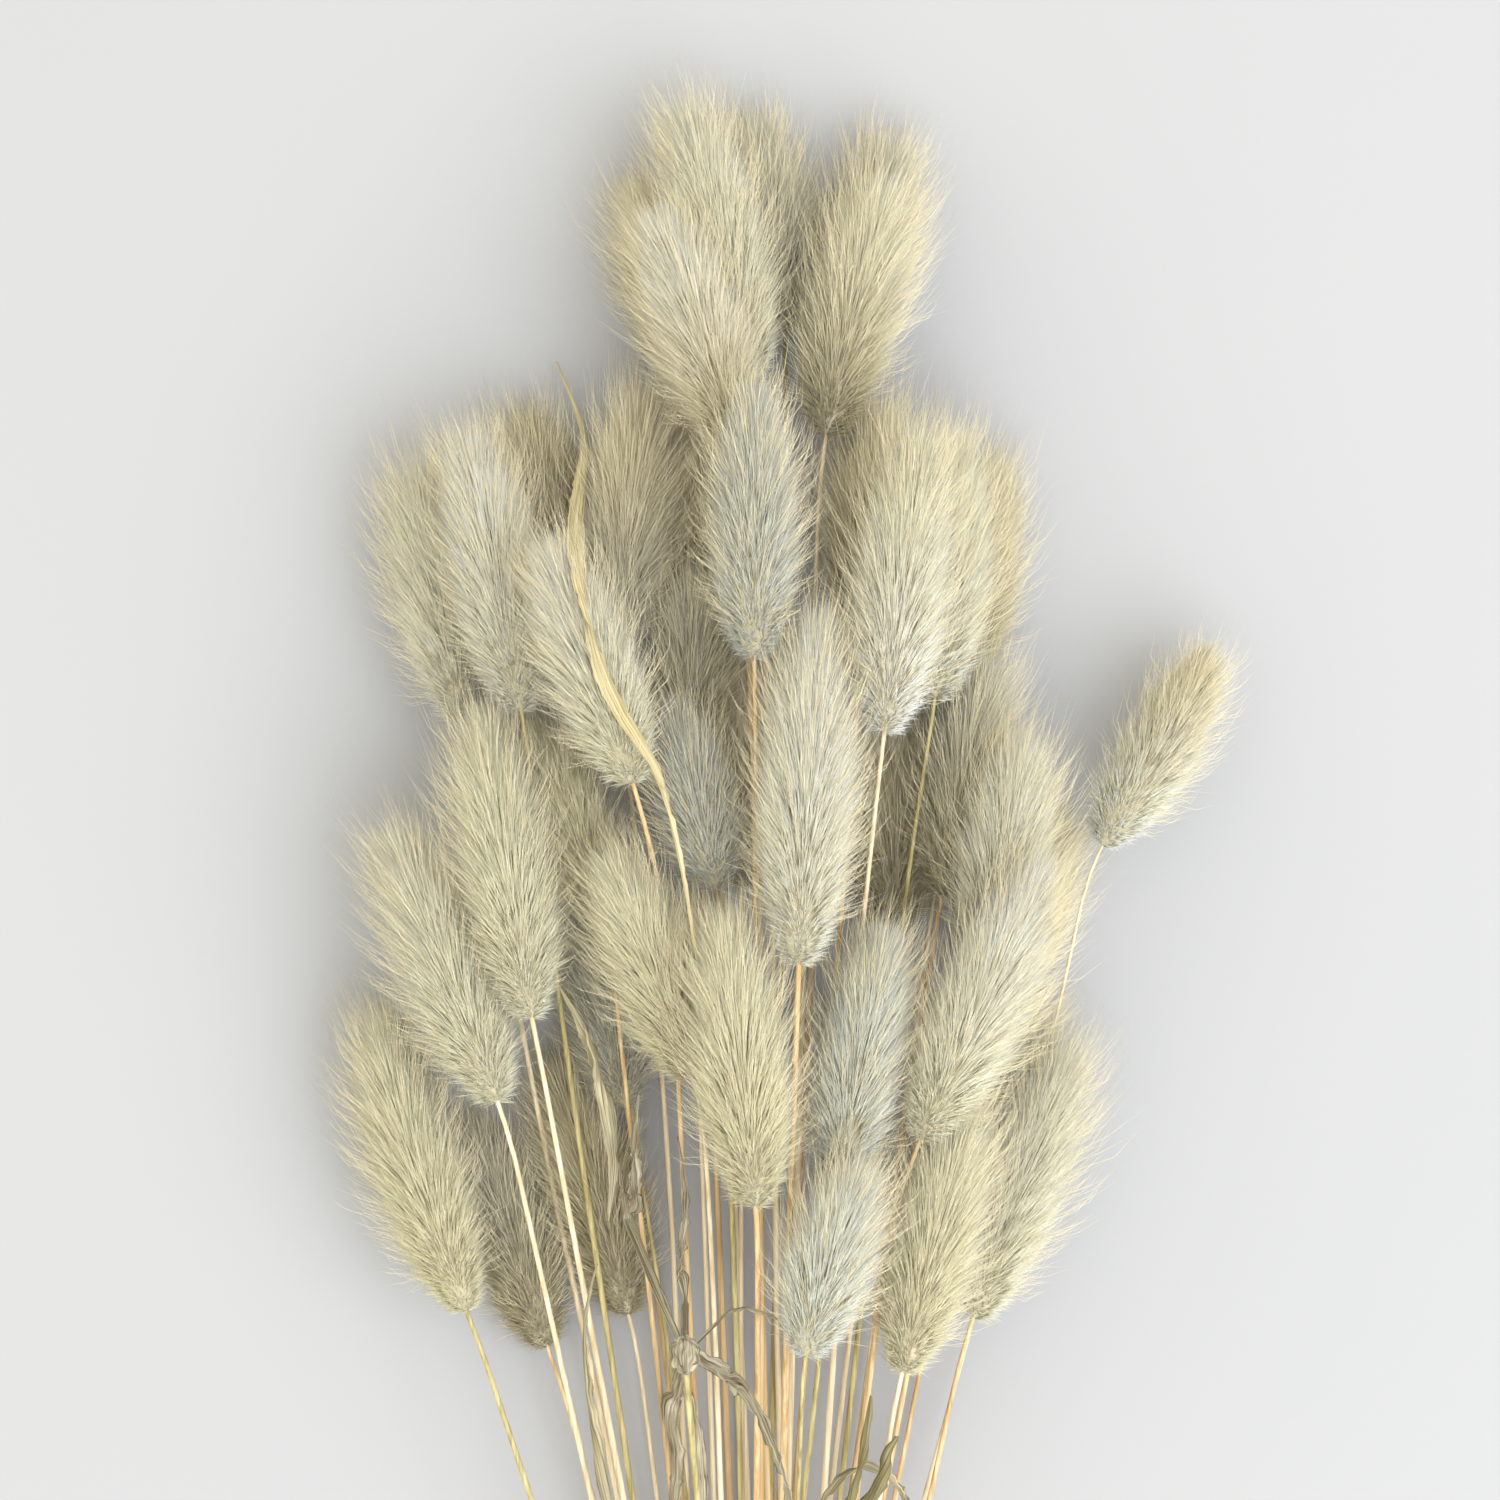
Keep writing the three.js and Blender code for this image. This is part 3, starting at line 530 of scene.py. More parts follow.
def build_hair_colour():
    """Colour = blend(Foot, Tip, u) * variation(stripe of u) * shade near the foot, and times Root as well
    where v is small. Root, the darker root of each hair, is partly its own colour and partly painted
    shade inside the fur. Where u is above AWN_FROM the colour is Awn."""
    tree, given, result = group_tree(
        "hair_colour",
        {
            "Foot": ("NodeSocketColor", (0.7, 0.7, 0.5, 1)),
            "Tip": ("NodeSocketColor", (0.8, 0.8, 0.7, 1)),
            "Root": ("NodeSocketColor", (0.75, 0.7, 0.55, 1)),
            "Awn": ("NodeSocketColor", (0.8, 0.7, 0.5, 1)),
        },
        {"Color": "NodeSocketColor"},
    )
    strand = add_node(tree, "ShaderNodeUVMap", uv_map="strand").outputs[0]
    split = add_node(tree, "ShaderNodeSeparateXYZ", {0: strand})
    u, v = split.outputs[0], split.outputs[1]
    up_head = add_node(tree, "ShaderNodeMapRange", {"Value": u, "From Min": 0.12, "From Max": 0.8})
    head = mix_colours(tree, up_head.outputs[0], given.outputs["Foot"], given.outputs["Tip"])
    stripe = add_node(tree, "ShaderNodeMath", {0: u, 1: 120.0}, operation="MULTIPLY")
    whole = add_node(tree, "ShaderNodeMath", {0: stripe.outputs[0]}, operation="FLOOR")
    chance = add_node(tree, "ShaderNodeTexWhiteNoise", {"W": whole.outputs[0]}, noise_dimensions="1D")
    lighter = add_node(
        tree, "ShaderNodeMapRange", {"Value": chance.outputs["Value"], "To Min": 0.9, "To Max": 1.14}
    )
    foot_range = {"Value": u, "From Min": 0.02, "From Max": 0.24, "To Min": 0.74, "To Max": 1.0}
    foot_shade = add_node(tree, "ShaderNodeMapRange", foot_range)
    both = {0: lighter.outputs[0], 1: foot_shade.outputs[0]}
    shade = add_node(tree, "ShaderNodeMath", both, operation="MULTIPLY")
    varied = add_node(tree, "ShaderNodeVectorMath", {0: head, "Scale": shade.outputs[0]}, operation="SCALE")
    to_tip = add_node(
        tree,
        "ShaderNodeMapRange",
        {"Value": v, "From Min": 0.0, "From Max": 0.55},
        interpolation_type="SMOOTHSTEP",
    )
    # the darker root of each hair: partly its own colour, partly painted shade inside the fur
    rooted = mix_colours(tree, 1.0, varied.outputs[0], given.outputs["Root"], "MULTIPLY")
    grown = mix_colours(tree, to_tip.outputs[0], rooted, varied.outputs[0])
    is_awn = add_node(tree, "ShaderNodeMath", {0: u, 1: AWN_FROM}, operation="GREATER_THAN")
    final = mix_colours(tree, is_awn.outputs[0], grown, given.outputs["Awn"])
    tree.links.new(final, result.inputs["Color"])
    return tree


hair_colour = build_hair_colour()
print("hair colour group nodes:", len(hair_colour.nodes))

# %% [markdown]
# The tints have plain names. One row per stalk says which tint its head has at the foot and at the tip,
# and how long its fur is compared with the others. Most heads that lie underneath get the darker olive
# and grey tints: besides their own colour, this is painted shade for the shadow the heads above cast
# on them.

# %% Tints
tints = {
    "white": colour(252, 253, 242),
    "cream": colour(248, 246, 214),
    "yellow": colour(246, 240, 196),
    "sage": colour(244, 244, 222),
    "blue": colour(237, 241, 228),
    "slate": colour(214, 217, 204),
    # grey and olive are partly painted shade: they go mostly on heads that lie in the shadow of others
    "grey": colour(210, 208, 186),
    "tan": colour(238, 226, 182),
    "olive": colour(192, 180, 132),
}
# darker hair roots: partly the hair's own colour, partly painted shade inside the fur
root_tone_and_shade = (0.86, 0.82, 0.69, 1)  # a share of the hair's own colour
awn_tint = colour(238, 226, 184)

head_looks = [
    ("cream", "sage", 1.0),
    ("tan", "white", 1.0),
    ("tan", "tan", 0.9),
    ("grey", "grey", 0.85),
    ("olive", "grey", 0.95),
    ("olive", "cream", 1.0),
    ("slate", "slate", 0.8),
    ("sage", "sage", 1.0),
    ("sage", "white", 1.0),
    ("olive", "olive", 0.9),
    ("grey", "tan", 1.05),
    ("cream", "white", 0.95),
    ("olive", "grey", 0.9),
    ("slate", "slate", 0.85),
    ("olive", "tan", 1.0),
    ("cream", "cream", 1.0),
    ("yellow", "yellow", 0.9),
    ("cream", "sage", 1.0),
    ("yellow", "cream", 0.95),
    ("olive", "grey", 0.85),
    ("yellow", "cream", 0.95),
    ("yellow", "cream", 1.05),
    ("olive", "tan", 1.0),
    ("grey", "blue", 0.9),
    ("sage", "white", 1.05),
    ("white", "cream", 1.0),
    ("olive", "tan", 1.0),
    ("olive", "tan", 0.8),
    ("sage", "cream", 1.0),
    ("olive", "grey", 1.0),
    ("olive", "tan", 1.0),
    ("sage", "sage", 1.0),
    ("blue", "tan", 0.64),
    ("blue", "blue", 0.9),
    ("cream", "white", 1.0),
    ("tan", "tan", 0.9),
    ("cream", "sage", 1.0),
    ("yellow", "cream", 0.95),
    ("blue", "blue", 0.9),
    ("grey", "grey", 0.9),
    ("olive", "tan", 1.0),
]


def hair_material(name, foot, tip):
    """A silky matt hair: the group paints it, and a little sheen stands for the light along its edge."""
    material, shader = new_material(name)
    tree = material.node_tree
    group = add_node(tree, "ShaderNodeGroup", node_tree=hair_colour)
    group.inputs["Foot"].default_value = foot
    group.inputs["Tip"].default_value = tip
    group.inputs["Root"].default_value = root_tone_and_shade
    group.inputs["Awn"].default_value = awn_tint
    tree.links.new(group.outputs["Color"], shader.inputs["Base Color"])
    shader.inputs["Roughness"].default_value = 0.6
    shader.inputs["Specular IOR Level"].default_value = 0.3
    shader.inputs["Sheen Weight"].default_value = 0.5
    return material


print("tints:", len(tints), "heads with a look:", len(head_looks))

# %% [markdown]
# ## Growing the hairs
#
# Hair curves with a hair system would be the usual way, but a hair that is meant to be kept as part of
# a model needs a real surface. Each hair here is a long thin spike: a three-sided ring at the root, in
# longer hairs one more ring, and a point at the tip. The spikes stand in tufts, one tuft for
# each spikelet of the grass, and the tufts sit on a spiral with the golden angle between neighbours,
# as they do on the plant. The hairs of a tuft lean together at their tips, which leaves the small dark
# gaps that make the herringbone look.


# %% Hair shapes
def spikes(rings, tips, radii):
    """Closed spikes. rings (N, R, 3) are the middles of each hair's rings, tips (N, 3) its points, radii
    (R,) or (N, R) the ring radii. Ring corner k of ring r stands at middle + radius (cos(2 pi k / 3) a +
    sin(2 pi k / 3) b), where a and b are square to the hair's direction."""
    count, steps = rings.shape[:2]
    ahead = unit(tips - rings[:, 0])
    across = unit(np.cross(ahead, [0.31, 0.17, 0.93]))
    other = np.cross(ahead, across)
    angle = 2 * np.pi * np.arange(3) / 3
    ring = np.cos(angle)[None, :, None] * across[:, None] + np.sin(angle)[None, :, None] * other[:, None]
    radii = np.broadcast_to(radii, (count, steps))
    corners = rings[:, :, None] + radii[:, :, None, None] * ring[:, None]
    points = np.concatenate([corners.reshape(count, -1, 3), tips[:, None]], axis=1)
    each = spike_faces(steps)
    faces = (np.arange(count)[:, None, None] * (3 * steps + 1) + each[None]).reshape(-1, 3)
    return points.reshape(-1, 3), faces


def spike_faces(steps):
    """The triangles of one spike with this many rings, its tip last."""
    faces = [[0, 2, 1]]
    for r in range(steps - 1):
        for k in range(3):
            a, b = 3 * r + k, 3 * r + (k + 1) % 3
            faces += [[a, b, b + 3], [a, b + 3, a + 3]]
    last = 3 * (steps - 1)
    faces += [[last + k, last + (k + 1) % 3, 3 * steps] for k in range(3)]
    return np.array(faces)


def strand_map(u, steps):
    """For each corner of each face, u stays with the hair and v is the share of its length. The sides of
    a hair are drawn a hair's width apart in u, so that no face is without width on the map."""
    each = spike_faces(steps)
    level = np.append(np.repeat(np.arange(steps) / steps, 3), 1.0)
    shift = np.append(np.tile([0.0, 0.5, 1.0], steps), 0.5) * 0.004
    places = np.empty((len(u), *each.shape, 2))
    places[..., 0] = u[:, None, None] + shift[each][None]
    places[..., 1] = level[each][None]
    places[:, 0, :, 1] += np.array([0.0, 0.01, 0.02])[None]
    return places.reshape(-1, 2)


print("faces of a hair with 1, 2 and 3 rings:", [len(spike_faces(rings)) for rings in (1, 2, 3)])

# %% [markdown]
# How a hair stands depends on where it grows. At the foot of a head the hairs are short and stand
# almost straight out, in the middle they lean forward, and at the tip they lie nearly along the head.
# Two curves say this, one for the lean and one for the length. The core ends before the tip, so that
# the point of the head is made of soft hairs only.


# %% Where hairs stand on a head
def head_frame(stalk):
    """The head's own line from foot to tip, its frames and its length."""
    line = stalk["line"][stalk["foot"] :]
    length = float(np.linalg.norm(line[-1] - line[0]))
    return line, path_frames(line), length


def on_line(values, t):
    """The rows of values at shares t of the way along, by straight interpolation."""
    place = np.clip(t, 0, 1) * (len(values) - 1)
    low = np.minimum(place.astype(int), len(values) - 2)
    part = (place - low)[:, None]
    return values[low] * (1 - part) + values[low + 1] * part


def outward(frames, t, angle):
    """The direction straight out of the head at share t and angle, and the head's own direction."""
    along, side, up = (on_line(each, t) for each in frames)
    return unit(np.cos(angle)[:, None] * side + np.sin(angle)[:, None] * up), unit(along)


def lean_angle(t):
    """How far a hair leans out from the head's line, in radians: 84 degrees at the foot, about 28 in the
    middle and 6 at the tip."""
    return np.interp(t, [0, 0.05, 0.17, 0.4, 0.7, 0.85, 1], np.radians([84, 66, 45, 31, 22, 14, 6]))


def hair_length(t):
    """The length of the hairs in metres: short at the foot, longest above the middle."""
    return np.interp(t, [0, 0.08, 0.2, 0.36, 0.6, 0.88, 1], [3.0, 4.2, 6.8, 9.6, 11.0, 10.2, 9.4]) * MM


def squeeze_to_table(points, floor=0.25 * MM, soft=1.6 * MM):
    """Hairs under a head are pressed against the table: z below soft is folded smoothly above floor."""
    z = points[..., 2]
    gap = soft - floor
    pressed = floor + gap * np.exp(np.minimum(z - soft, 0) / gap)
    points[..., 2] = np.where(z < soft, pressed, z)
    return points


def grow(frames, line, roots_t, roots_angle, ends, steps, thickness, sway=0.0):
    """Hairs from roots on the rachis to their ends, bent so that they leave it steeply: the point at
    share s is root + s (end - root) + 2 s (1 - s) (bend out + sway)."""
    out, _ = outward(frames, roots_t, roots_angle)
    roots = on_line(line, roots_t) + out * (core_radius(roots_t) * 0.93)[:, None]
    reach = ends - roots
    bend = 0.16 * np.linalg.norm(reach, axis=1)
    s = np.arange(steps) / steps
    rings = roots[:, None] + s[None, :, None] * reach[:, None]
    bow = bend[:, None] * out + sway
    rings = rings + (2 * s * (1 - s))[None, :, None] * bow[:, None]
    taper = thickness[:, None] * (1 - 0.5 * s)[None]
    return squeeze_to_table(rings), squeeze_to_table(ends), taper


print("lean at foot, middle, tip:", np.degrees(lean_angle(np.array([0, 0.5, 1]))).round(), "degrees")

# %% [markdown]
# A head gets three kinds of hair: many short straight ones for the fur, fewer long bent ones, and the
# awns, the thin bristles that stick out of the fur and cross the gaps between heads. All three are
# drawn from one seeded source of chance for each head, so a head looks the same in every render.


# %% Grow one head
SHORT_HAIRS = 5800  # these three are counts on a head 48 mm long
LONG_HAIRS = 900
AWNS = 1300
TUFTS = 120  # on a head 50 mm long
CLUMPING = 0.24  # how far the end of a hair is drawn to its tuft's middle, as a share


def tuft_places(count):
    """Tufts on a golden-angle spiral over the rachis, closer together towards the foot."""
    order = (np.arange(count) + 0.5) / count
    return CORE_END * order**0.92, np.arange(count) * np.pi * (3 - 5**0.5)


def grow_hairs(stalk, count, steps, random, loose, fluff):
    """One kind of hair over a whole head. A hair's own end is root + length (sin(lean) out + cos(lean)
    ahead), and it is drawn towards the end that the middle of its tuft would have. loose is the share of
    hairs that keep their own end, and fluff scales the length of the fur."""
    line, frames, length = head_frame(stalk)
    tufts = int(TUFTS * length / (50 * MM))
    tuft_t, tuft_angle = tuft_places(tufts)
    tuft_lean = lean_angle(tuft_t) * random.normal(1, 0.08, tufts)
    tuft_length = fluff * hair_length(tuft_t) * random.normal(1, 0.07, tufts)
    which = random.integers(0, tufts, count)
    width = np.maximum(core_radius(tuft_t[which]), 1.5 * MM)
    spread = random.normal(0, 1, (2, count)) * MM
    t = np.clip(tuft_t[which] + spread[0] / length, 0.0, CORE_END)
    angle = tuft_angle[which] + spread[1] / width
    out, ahead = outward(frames, t, angle)
    tuft_out, tuft_ahead = outward(frames, tuft_t[which], tuft_angle[which])
    own_lean = lean_angle(t) * random.normal(1, 0.16, count)
    own_length = fluff * hair_length(t) * random.uniform(0.72, 1.12, count)
    own = own_length[:, None] * (np.sin(own_lean)[:, None] * out + np.cos(own_lean)[:, None] * ahead)
    shared_length = (tuft_length[which] * random.uniform(0.78, 1.06, count))[:, None]
    lean = tuft_lean[which][:, None]
    shared = shared_length * (np.sin(lean) * tuft_out + np.cos(lean) * tuft_ahead)
    roots = on_line(line, t) + out * core_radius(t)[:, None]
    tuft_roots = on_line(line, tuft_t[which]) + tuft_out * core_radius(tuft_t[which])[:, None]
    pull = np.where(random.random(count) < loose, 0.0, CLUMPING)[:, None]
    ends = (1 - pull) * (roots + own) + pull * (tuft_roots + shared)
    ends += random.normal(0, 0.45 * MM, (count, 3))
    thickness = random.uniform(0.055, 0.09, count) * MM
    rings, tips, taper = grow(frames, line, t, angle, ends, steps, thickness)
    u = np.clip(0.03 + 0.88 * t / CORE_END + random.normal(0, 0.03, count), 0.005, 0.94)
    return *spikes(rings, tips, taper), strand_map(u, steps)


def grow_awns(stalk, count, random, fluff):
    """The long bristles that stand out of the fur, up to twice as long as it and as thin as thread."""
    line, frames, length = head_frame(stalk)
    t = random.uniform(0.1, CORE_END, count)
    angle = random.uniform(0, 2 * np.pi, count)
    out, ahead = outward(frames, t, angle)
    lean = lean_angle(t) * random.uniform(0.75, 1.25, count) + 0.06
    reach = fluff * hair_length(t) * random.uniform(1.1, 1.9, count)
    ends = on_line(line, t) + out * core_radius(t)[:, None]
    ends = ends + reach[:, None] * (np.sin(lean)[:, None] * out + np.cos(lean)[:, None] * ahead)
    ends += random.normal(0, 1.5 * MM, (count, 3))
    thickness = np.full(count, 0.05 * MM)
    sway = random.normal(0, 1.6 * MM, (count, 3))
    rings, tips, taper = grow(frames, line, t, angle, ends, 2, thickness, sway)
    u = random.uniform(AWN_FROM + 0.005, 0.99, count)
    return *spikes(rings, tips, taper), strand_map(u, 2)


def make_head(stalk, number):
    """All the hairs of one head, joined into one piece."""
    random = np.random.default_rng(100 + number)
    size = head_frame(stalk)[2] / (48 * MM)
    foot, tip, fluff = head_looks[number]
    parts = [
        grow_hairs(stalk, int(SHORT_HAIRS * size), 1, random, 0.25, fluff),
        grow_hairs(stalk, int(LONG_HAIRS * size), 2, random, 0.45, fluff),
        grow_awns(stalk, int(AWNS * size), random, fluff),
    ]
    points, faces, places = join(parts)
    label = stalk["name"][-2:]
    material = hair_material("hair_" + label, tints[foot], tints[tip])
    maps = {"strand": places, "OFBake": places}
    make_piece("seed_head_" + label, points, faces, material, maps, stalk["name"])
    return len(faces)


hair_faces = sum(make_head(stalk, number) for number, stalk in enumerate(stalks))
print("hair faces:", hair_faces)

# %% [markdown]
# ## Dry leaves
#
# A leaf of the grass dries into a thin ribbon that rolls up, twists and crinkles along its edges. The
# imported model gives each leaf's way. To find it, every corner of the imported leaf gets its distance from
# one end, measured along the edges. The mean of the corners at one distance is a point of the midline,
# and the direction in which those corners spread is the leaf's width. The shoot is read the same way,
# after it is cut into its limbs around the knot.


# %% Read the leaves
KNOT_RADIUS = 2.3 * MM
SHOOT_CULM = (0.95, 0.55)  # its radius in mm at the cut end and at the knot


def corner_graph(name):
    """The node's different corners and the edges between them."""
    every = np.round(node_triangles(name).reshape(-1, 3), 6)
    points, index = np.unique(every, axis=0, return_inverse=True)
    faces = index.reshape(-1, 3)
    edges = np.vstack([faces[:, :2], faces[:, 1:], faces[:, ::2]])
    return points, np.unique(np.sort(edges, axis=1), axis=0)


def spread_least(values, edges, steps):
    """Lets each corner's value fall to a neighbour's value plus the step, until nothing changes."""
    while True:
        before = values.copy()
        np.minimum.at(values, edges[:, 1], values[edges[:, 0]] + steps)
        np.minimum.at(values, edges[:, 0], values[edges[:, 1]] + steps)
        if np.array_equal(values, before):
            return values


def walk_from(points, edges, start):
    """The distance of every corner from the start corner, along the edges."""
    far = np.full(len(points), 10.0)
    far[start] = 0
    return spread_least(far, edges, np.linalg.norm(points[edges[:, 0]] - points[edges[:, 1]], axis=1))


def ribbon_path(points, far, count):
    """The midline, the width direction and the half width at evenly spaced distances."""
    stations = np.linspace(0, far.max(), count)
    weight = np.exp(-(((far[None] - stations[:, None]) / (2.2 * MM)) ** 2))
    weight /= weight.sum(axis=1, keepdims=True)
    middle = weight @ points
    along = unit(np.gradient(middle, axis=0))
    away = points[None] - middle[:, None]
    away -= (away * along[:, None]).sum(axis=2, keepdims=True) * along[:, None]
    spread = np.einsum("sp,spi,spj->sij", weight, away, away)
    size, axes = np.linalg.eigh(spread)
    across = axes[..., -1]
    turned = np.sign((across[1:] * across[:-1]).sum(axis=1))
    across = across * np.cumprod(np.append(1, np.where(turned == 0, 1, turned)))[:, None]
    across = unit(smooth_line(across, 2))
    return middle, across, np.sqrt(size[:, -1]) * 1.2


def read_leaf(name):
    """A loose leaf from one end to the other."""
    points, edges = corner_graph(name)
    end = int(np.argmax(walk_from(points, edges, 0)))
    return ribbon_path(points, walk_from(points, edges, end), 60)


def groups_beyond(points, edges, middle, reach):
    """Groups of corners that stay joined by edges when the corners within reach of the middle are left
    out. Groups of eight corners or fewer are scraps of a limb's end and don't count."""
    outside = np.linalg.norm(points - middle, axis=1) > reach
    kept = edges[outside[edges].all(axis=1)]
    label = spread_least(np.arange(len(points)).astype(float), kept, 0.0)
    groups = [np.flatnonzero(outside & (label == each)) for each in np.unique(label[outside])]
    return [group for group in groups if len(group) > 8]


def line_of_rings(points, end):
    """The line of a rod along Y: the mean of each ring of corners, then the given end, evenly spaced."""
    rows = points[points[:, 1] < end[1] - 8 * MM]
    rows = rows[np.argsort(rows[:, 1])]
    ring = np.cumsum(np.append(0, np.diff(rows[:, 1]) > 2 * MM))
    path = np.vstack([*(rows[ring == k].mean(axis=0) for k in range(ring[-1] + 1)), end])
    far = np.append(0, np.cumsum(np.linalg.norm(np.diff(path, axis=0), axis=1)))
    even = np.linspace(0, far[-1], 90)
    return smooth_line(np.stack([np.interp(even, far, path[:, k]) for k in range(3)], axis=1), 3)


def read_shoot(name, reach=10 * MM):
    """The shoot's knot, blades and culm. The blades hang from the knot in one crowd and part a little
    lower: without the corners within reach of the crowd's middle they fall apart, and two that stay
    side by side fall apart further out. The limb that goes furthest down the bunch is the culm."""
    points, edges = corner_graph(name)
    gaps = np.linalg.norm(points[:, None] - points[None], axis=2)
    crowd = gaps[int(np.argmax((gaps < 3 * MM).sum(axis=1)))] < 3 * MM
    middle = points[crowd].mean(axis=0)
    column = points[np.linalg.norm(points[:, :2] - middle[:2], axis=1) < KNOT_RADIUS]
    knot = column[np.argsort(column[:, 2])[-6:]].mean(axis=0) - [0, 0, KNOT_RADIUS]
    further = groups_beyond(points, edges, middle, 2.4 * reach)
    blades = []
    for limb in groups_beyond(points, edges, middle, reach):
        if points[limb, 1].min() == points[:, 1].min():
            culm = line_of_rings(points[limb], knot)
            continue
        forks = [group for group in further if np.isin(group, limb).all()]
        for mine in forks if len(forks) > 1 else [limb]:
            rename = np.full(len(points), -1)
            rename[mine] = np.arange(len(mine))
            inner = rename[edges[(rename[edges] >= 0).all(axis=1)]]
            start = int(np.argmin(np.linalg.norm(points[mine] - middle, axis=1)))
            blades.append(ribbon_path(points[mine], walk_from(points[mine], inner, start), 50))
    return knot, blades, culm


print("corners of the long leaf:", len(corner_graph("leaf_long")[0]))

# %% [markdown]
# A dried leaf is built from three plain bends of a flat strip: across, it rolls into an arc; along, it
# follows its midline and twists; and its edges ripple. The strip gets a front and a back with a small
# distance between them, so that it is a closed, thin body.


# %% Make a ribbon
RIBBON_SIDES = 13  # points across the front, and as many across the back


def ribbon(path, random, roll, ripple, twist, blunt=0.0, thickness=0.16):
    """Front point at share s and across x in -1..1: middle + w (sin(r x) / r) across + w ((1 - cos(r x)) /
    r) up + ripple x^2 waves(s) up, where w is the half width and r the roll in radians, which changes
    between the two given. Also the map: x in metres of width, s in metres of length."""
    middle, across, half = path
    length = np.linalg.norm(np.diff(middle, axis=0), axis=1).sum()
    count = int(np.clip(length / (0.7 * MM), 30, 170))
    s = np.linspace(0, 1, count)
    middle = smooth_line(on_line(middle, s), 3)
    across = unit(on_line(across, s))
    half = on_line(half[:, None], s)[:, 0]
    along = unit(np.gradient(middle, axis=0))
    across = unit(across - (across * along).sum(axis=1, keepdims=True) * along)
    up = np.cross(along, across)
    start = blunt + (1 - blunt) * np.clip(s / 0.06, 0, 1) ** 0.6
    half = half * start * np.clip((1 - s) / 0.22, 0, 1) ** 0.7 + 0.12 * MM
    phase = random.uniform(0, 6.28, 8)
    turn = twist * (np.sin(9 * s + phase[0]) + 0.5 * np.sin(21 * s + phase[1]))
    across, up = (
        np.cos(turn)[:, None] * across + np.sin(turn)[:, None] * up,
        np.cos(turn)[:, None] * up - np.sin(turn)[:, None] * across,
    )
    bend = roll[0] + (roll[1] - roll[0]) * (0.5 + 0.5 * np.sin(7 * s + phase[2]))
    x = np.linspace(-1, 1, RIBBON_SIDES)
    angle = bend[:, None] * x[None]
    wide = half[:, None] * np.sin(angle) / bend[:, None]
    high = half[:, None] * (1 - np.cos(angle)) / bend[:, None]
    run = s * length / MM
    waves = np.sin(1.1 * run[:, None] + phase[3] + 2.4 * x)
    waves += 0.7 * np.sin(2.3 * run[:, None] + phase[4] - 1.7 * x)
    waves += 0.5 * np.sin(0.45 * run[:, None] + phase[5] + 3.0 * x)
    high = high + ripple * MM * waves * x[None] ** 2 * np.minimum(half / (1.4 * MM), 1)[:, None]
    high += 0.08 * MM * np.cos(x * 3 * np.pi)[None]
    front = middle[:, None] + wide[..., None] * across[:, None] + high[..., None] * up[:, None]
    thin = thickness * MM * (1 - 0.6 * x**2)
    back = front - thin[None, :, None] * up[:, None]
    rings = np.concatenate([front, back[:, ::-1]], axis=1)
    ends = np.stack([rings[0].mean(axis=0), rings[-1].mean(axis=0)])
    points = np.vstack([rings.reshape(-1, 3), ends])
    sides = 2 * RIBBON_SIDES
    around = np.concatenate([x, x[::-1]]) * 1.6 * MM
    place = np.stack(np.broadcast_arrays(around[None], (s * length)[:, None]), axis=-1).reshape(-1, 2)
    place = np.vstack([place, [[0, 0], [0, length]]]) + random.uniform(0, 0.3, 2)
    faces = tube_faces(count, sides)
    return points, faces, place[faces].reshape(-1, 2)


print("a ribbon ring has", 2 * RIBBON_SIDES, "points")

# %% [markdown]
# Each leaf has its own look: the long one is golden, the strip is grey-green and the scraps are olive.
# They share the streaks of the straw, only finer, and the streaks follow the leaf's own map.

# %% Make the loose leaves
leaf_looks = {
    "leaf_gold": ("leaf_gold", ((222, 212, 170), (158, 140, 92), (176, 166, 136)), 0.6, 3200.0, 60.0, 0.6),
    "leaf_grey_green": (
        "leaf_grey_green", ((196, 188, 154), (92, 82, 56), (150, 134, 92)), 0.6, 3600.0, 90.0, 0.7
    ),
    "leaf_olive": ("leaf_olive", ((150, 142, 100), (84, 76, 48), (128, 120, 90)), 0.6, 3600.0, 90.0, 0.7),
    "dry_straw": ("shoot_leaf", ((198, 190, 162), (76, 64, 42), (122, 102, 74)), 0.7, 3000.0, 120.0, 0.7),
}
leaf_looks = {slot: streaked_material(*look, leaf=True) for slot, look in leaf_looks.items()}

leaf_names = [name for name in nodes if name.startswith("leaf_")]
for number, name in enumerate(leaf_names):
    random = np.random.default_rng(40 + number)
    points, faces, places = ribbon(read_leaf(name), random, (0.8, 1.9), 0.16, 0.7)
    make_piece(name + "_dried", points, faces, leaf_looks[slot_of[name]], {"leaf": places}, name)
print("loose leaves:", leaf_names)

# %% [markdown]
# The shoot is a broken stalk: its culm ends in a ragged knot from which seven blades hang in all
# directions. The knot is a ball whose radius changes in ridges, like the torn sheath of a leaf.


# %% Make the shoot
def knot_ball(centre, size, random):
    """Point at (a, b) on a ball: centre + size (1 + ridges(a, b)) (cos a sin b, 1.15 cos b, sin a sin b)."""
    rows, columns = 20, 36
    down = np.linspace(0.02, np.pi - 0.02, rows)
    b, a = np.meshgrid(down, 2 * np.pi * np.arange(columns) / columns, indexing="ij")
    ridges = 0.16 * np.sin(5 * a + 3 * b) + 0.1 * np.sin(9 * a - 5 * b) + 0.08 * np.sin(7 * b + 2 * a)
    radius = size * (1 + ridges)
    shape = np.stack([np.cos(a) * np.sin(b), 1.15 * np.cos(b), np.sin(a) * np.sin(b)], axis=-1)
    rings = centre + radius[..., None] * shape
    points = np.vstack([rings.reshape(-1, 3), rings[0].mean(axis=0), rings[-1].mean(axis=0)])
    faces = tube_faces(rows, columns)[:, ::-1]
    place = np.stack([a * size, b * size], axis=-1).reshape(-1, 2)
    place = np.vstack([place, [[0, 0], [0, 3 * size]]]) + random.uniform(0, 0.3, 2)
    return points, faces, place[faces].reshape(-1, 2)


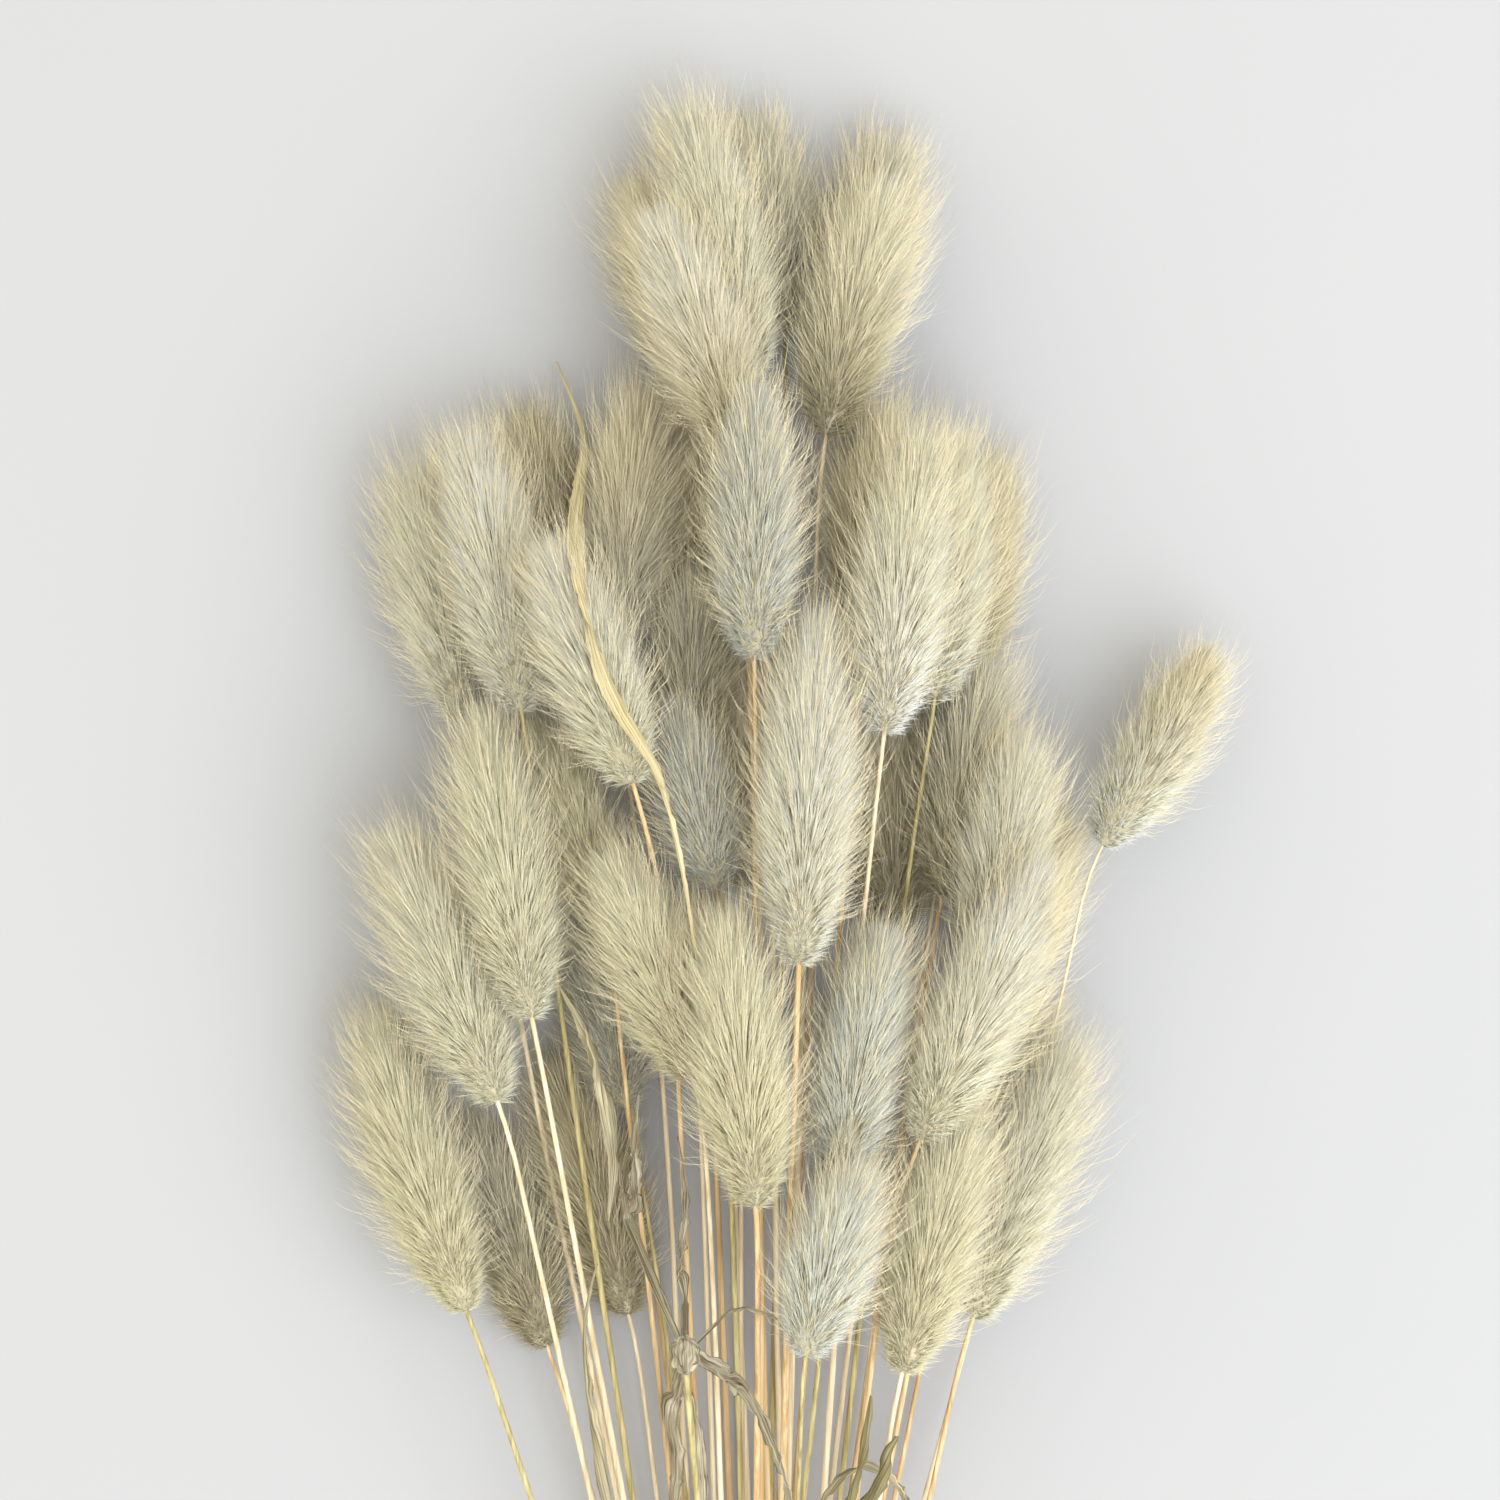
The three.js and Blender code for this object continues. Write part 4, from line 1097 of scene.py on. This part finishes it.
def from_knot(path, knot):
    """The limb's path carried back into the knot."""
    middle, across, half = path
    count = 10
    share = (np.arange(count) / count)[:, None]
    before = knot + (middle[0] - knot) * share
    return (
        np.vstack([before, middle]),
        np.vstack([np.repeat(across[:1], count, axis=0), across]),
        np.append(np.full(count, half[:6].mean()), half),
    )


def make_shoot(name):
    """The knot and the blades are one piece with the leaf look, the culm is one with the straw look."""
    knot, blade_paths, culm = read_shoot(name)
    random = np.random.default_rng(5)
    blades = [ribbon(from_knot(path, knot), random, (0.4, 1.4), 0.3, 0.4, 0.5) for path in blade_paths]
    blades.append(knot_ball(knot, KNOT_RADIUS, random))
    points, faces, places = join(blades)
    make_piece(name + "_blades", points, faces, leaf_looks[slot_of[name]], {"leaf": places}, name)
    culm_points, culm_faces = culm_tube(culm, np.linspace(*SHOOT_CULM, len(culm)) * MM)
    make_piece(name + "_culm", culm_points, culm_faces, straws["green"], None, name)
    print("shoot blades:", len(blade_paths), "knot at", knot.round(4))


make_shoot("leafy_shoot")

# %% [markdown]
# ## The tie
#
# A thin twine is wound six and a half times around the stalks. Twine is two plies twisted around each
# other, so each ply is a helix around a helix: the first is the winding around the bunch, the second
# the twist of the twine itself. The ends meet on top in a small knot with two short tails.


# %% Make the twine
PLY_RADIUS = 0.42 * MM
TWIST = 3.2 * MM  # one full turn of the plies around each other
TURNS = 6.5


def twine(line, ply_radius, twist_length):
    """Two plies around a line: ply k follows line + 0.85 ply_radius (cos a side + sin a up), with
    a = 2 pi distance / twist_length + k pi."""
    step = np.linalg.norm(np.diff(line, axis=0), axis=1)
    distance = np.append(0, np.cumsum(step))
    along = unit(np.gradient(line, axis=0))
    side = unit(np.cross(along, [0.3, 0.9, 0.31]))
    up = np.cross(side, along)
    plies = []
    for k in range(2):
        a = (2 * np.pi * distance / twist_length + k * np.pi)[:, None]
        path = line + 0.85 * ply_radius * (np.cos(a) * side + np.sin(a) * up)
        points, faces = tube_around(path, ply_radius, 6)
        plies.append((points, faces, np.zeros((faces.size, 2))))
    return join(plies)


def tube_around(line, radius, sides):
    """A tube whose frame is carried along the line, so that it may turn in any direction."""
    along = unit(np.gradient(line, axis=0))
    side = unit(np.cross(along, [0.3, 0.9, 0.31]))
    up = np.cross(side, along)
    angle = 2 * np.pi * np.arange(sides) / sides
    ring = np.cos(angle)[None, :, None] * side[:, None] + np.sin(angle)[None, :, None] * up[:, None]
    points = (line[:, None] + radius * ring).reshape(-1, 3)
    return np.vstack([points, line[:1], line[-1:]]), tube_faces(len(line), sides)


def make_tie(name):
    """The winding, the knot on top of it and the two tails."""
    corners = node_triangles(name).reshape(-1, 3)
    low, high = corners.min(axis=0), corners.max(axis=0)
    centre = (low + high) / 2
    ply = PLY_RADIUS
    reach = (high[2] - low[2]) / 2 - 2 * ply
    width = (high[1] - low[1]) - 3.6 * ply
    a = np.linspace(0, 2 * np.pi * TURNS, 760)
    around = np.stack([reach * np.sin(a), width * (a / a[-1] - 0.5), reach * np.cos(a)], axis=1)
    parts = [twine(centre + around, ply, TWIST)]
    top = centre + [0, 0, reach + 1.5 * ply]
    t = np.linspace(0, 2 * np.pi, 90)
    loop_x = 2.2 * np.sin(t) + 1.2 * np.sin(2 * t)
    loop_y = 2.0 * np.cos(t) - 1.2 * np.cos(2 * t)
    loop = np.stack([loop_x, loop_y, 0.8 + 0.5 * np.sin(3 * t)], axis=1)
    parts.append(twine(top + loop * MM, ply, TWIST))
    s = np.linspace(0, 1, 60)
    for side, forward in ((1, 1), (-1, -0.6)):
        tail_y = forward * (2 + 15 * s - 5 * s**2)
        tail = np.stack([side * (1 + 9 * s), tail_y, 0.9 + 1.6 * np.sin(2.6 * s) - 2.2 * s], axis=1)
        parts.append(twine(top + tail * MM, ply, TWIST))
    points, faces, _ = join(parts)
    twine_colours = ((214, 190, 142), (168, 140, 92), (150, 128, 88))
    look = streaked_material("twine", twine_colours, 0.4, 1500.0, 1500.0, 0.85)
    make_piece("tie_twine", points, faces, look, None, name)
    print("twine faces:", len(faces))


make_tie("tie")
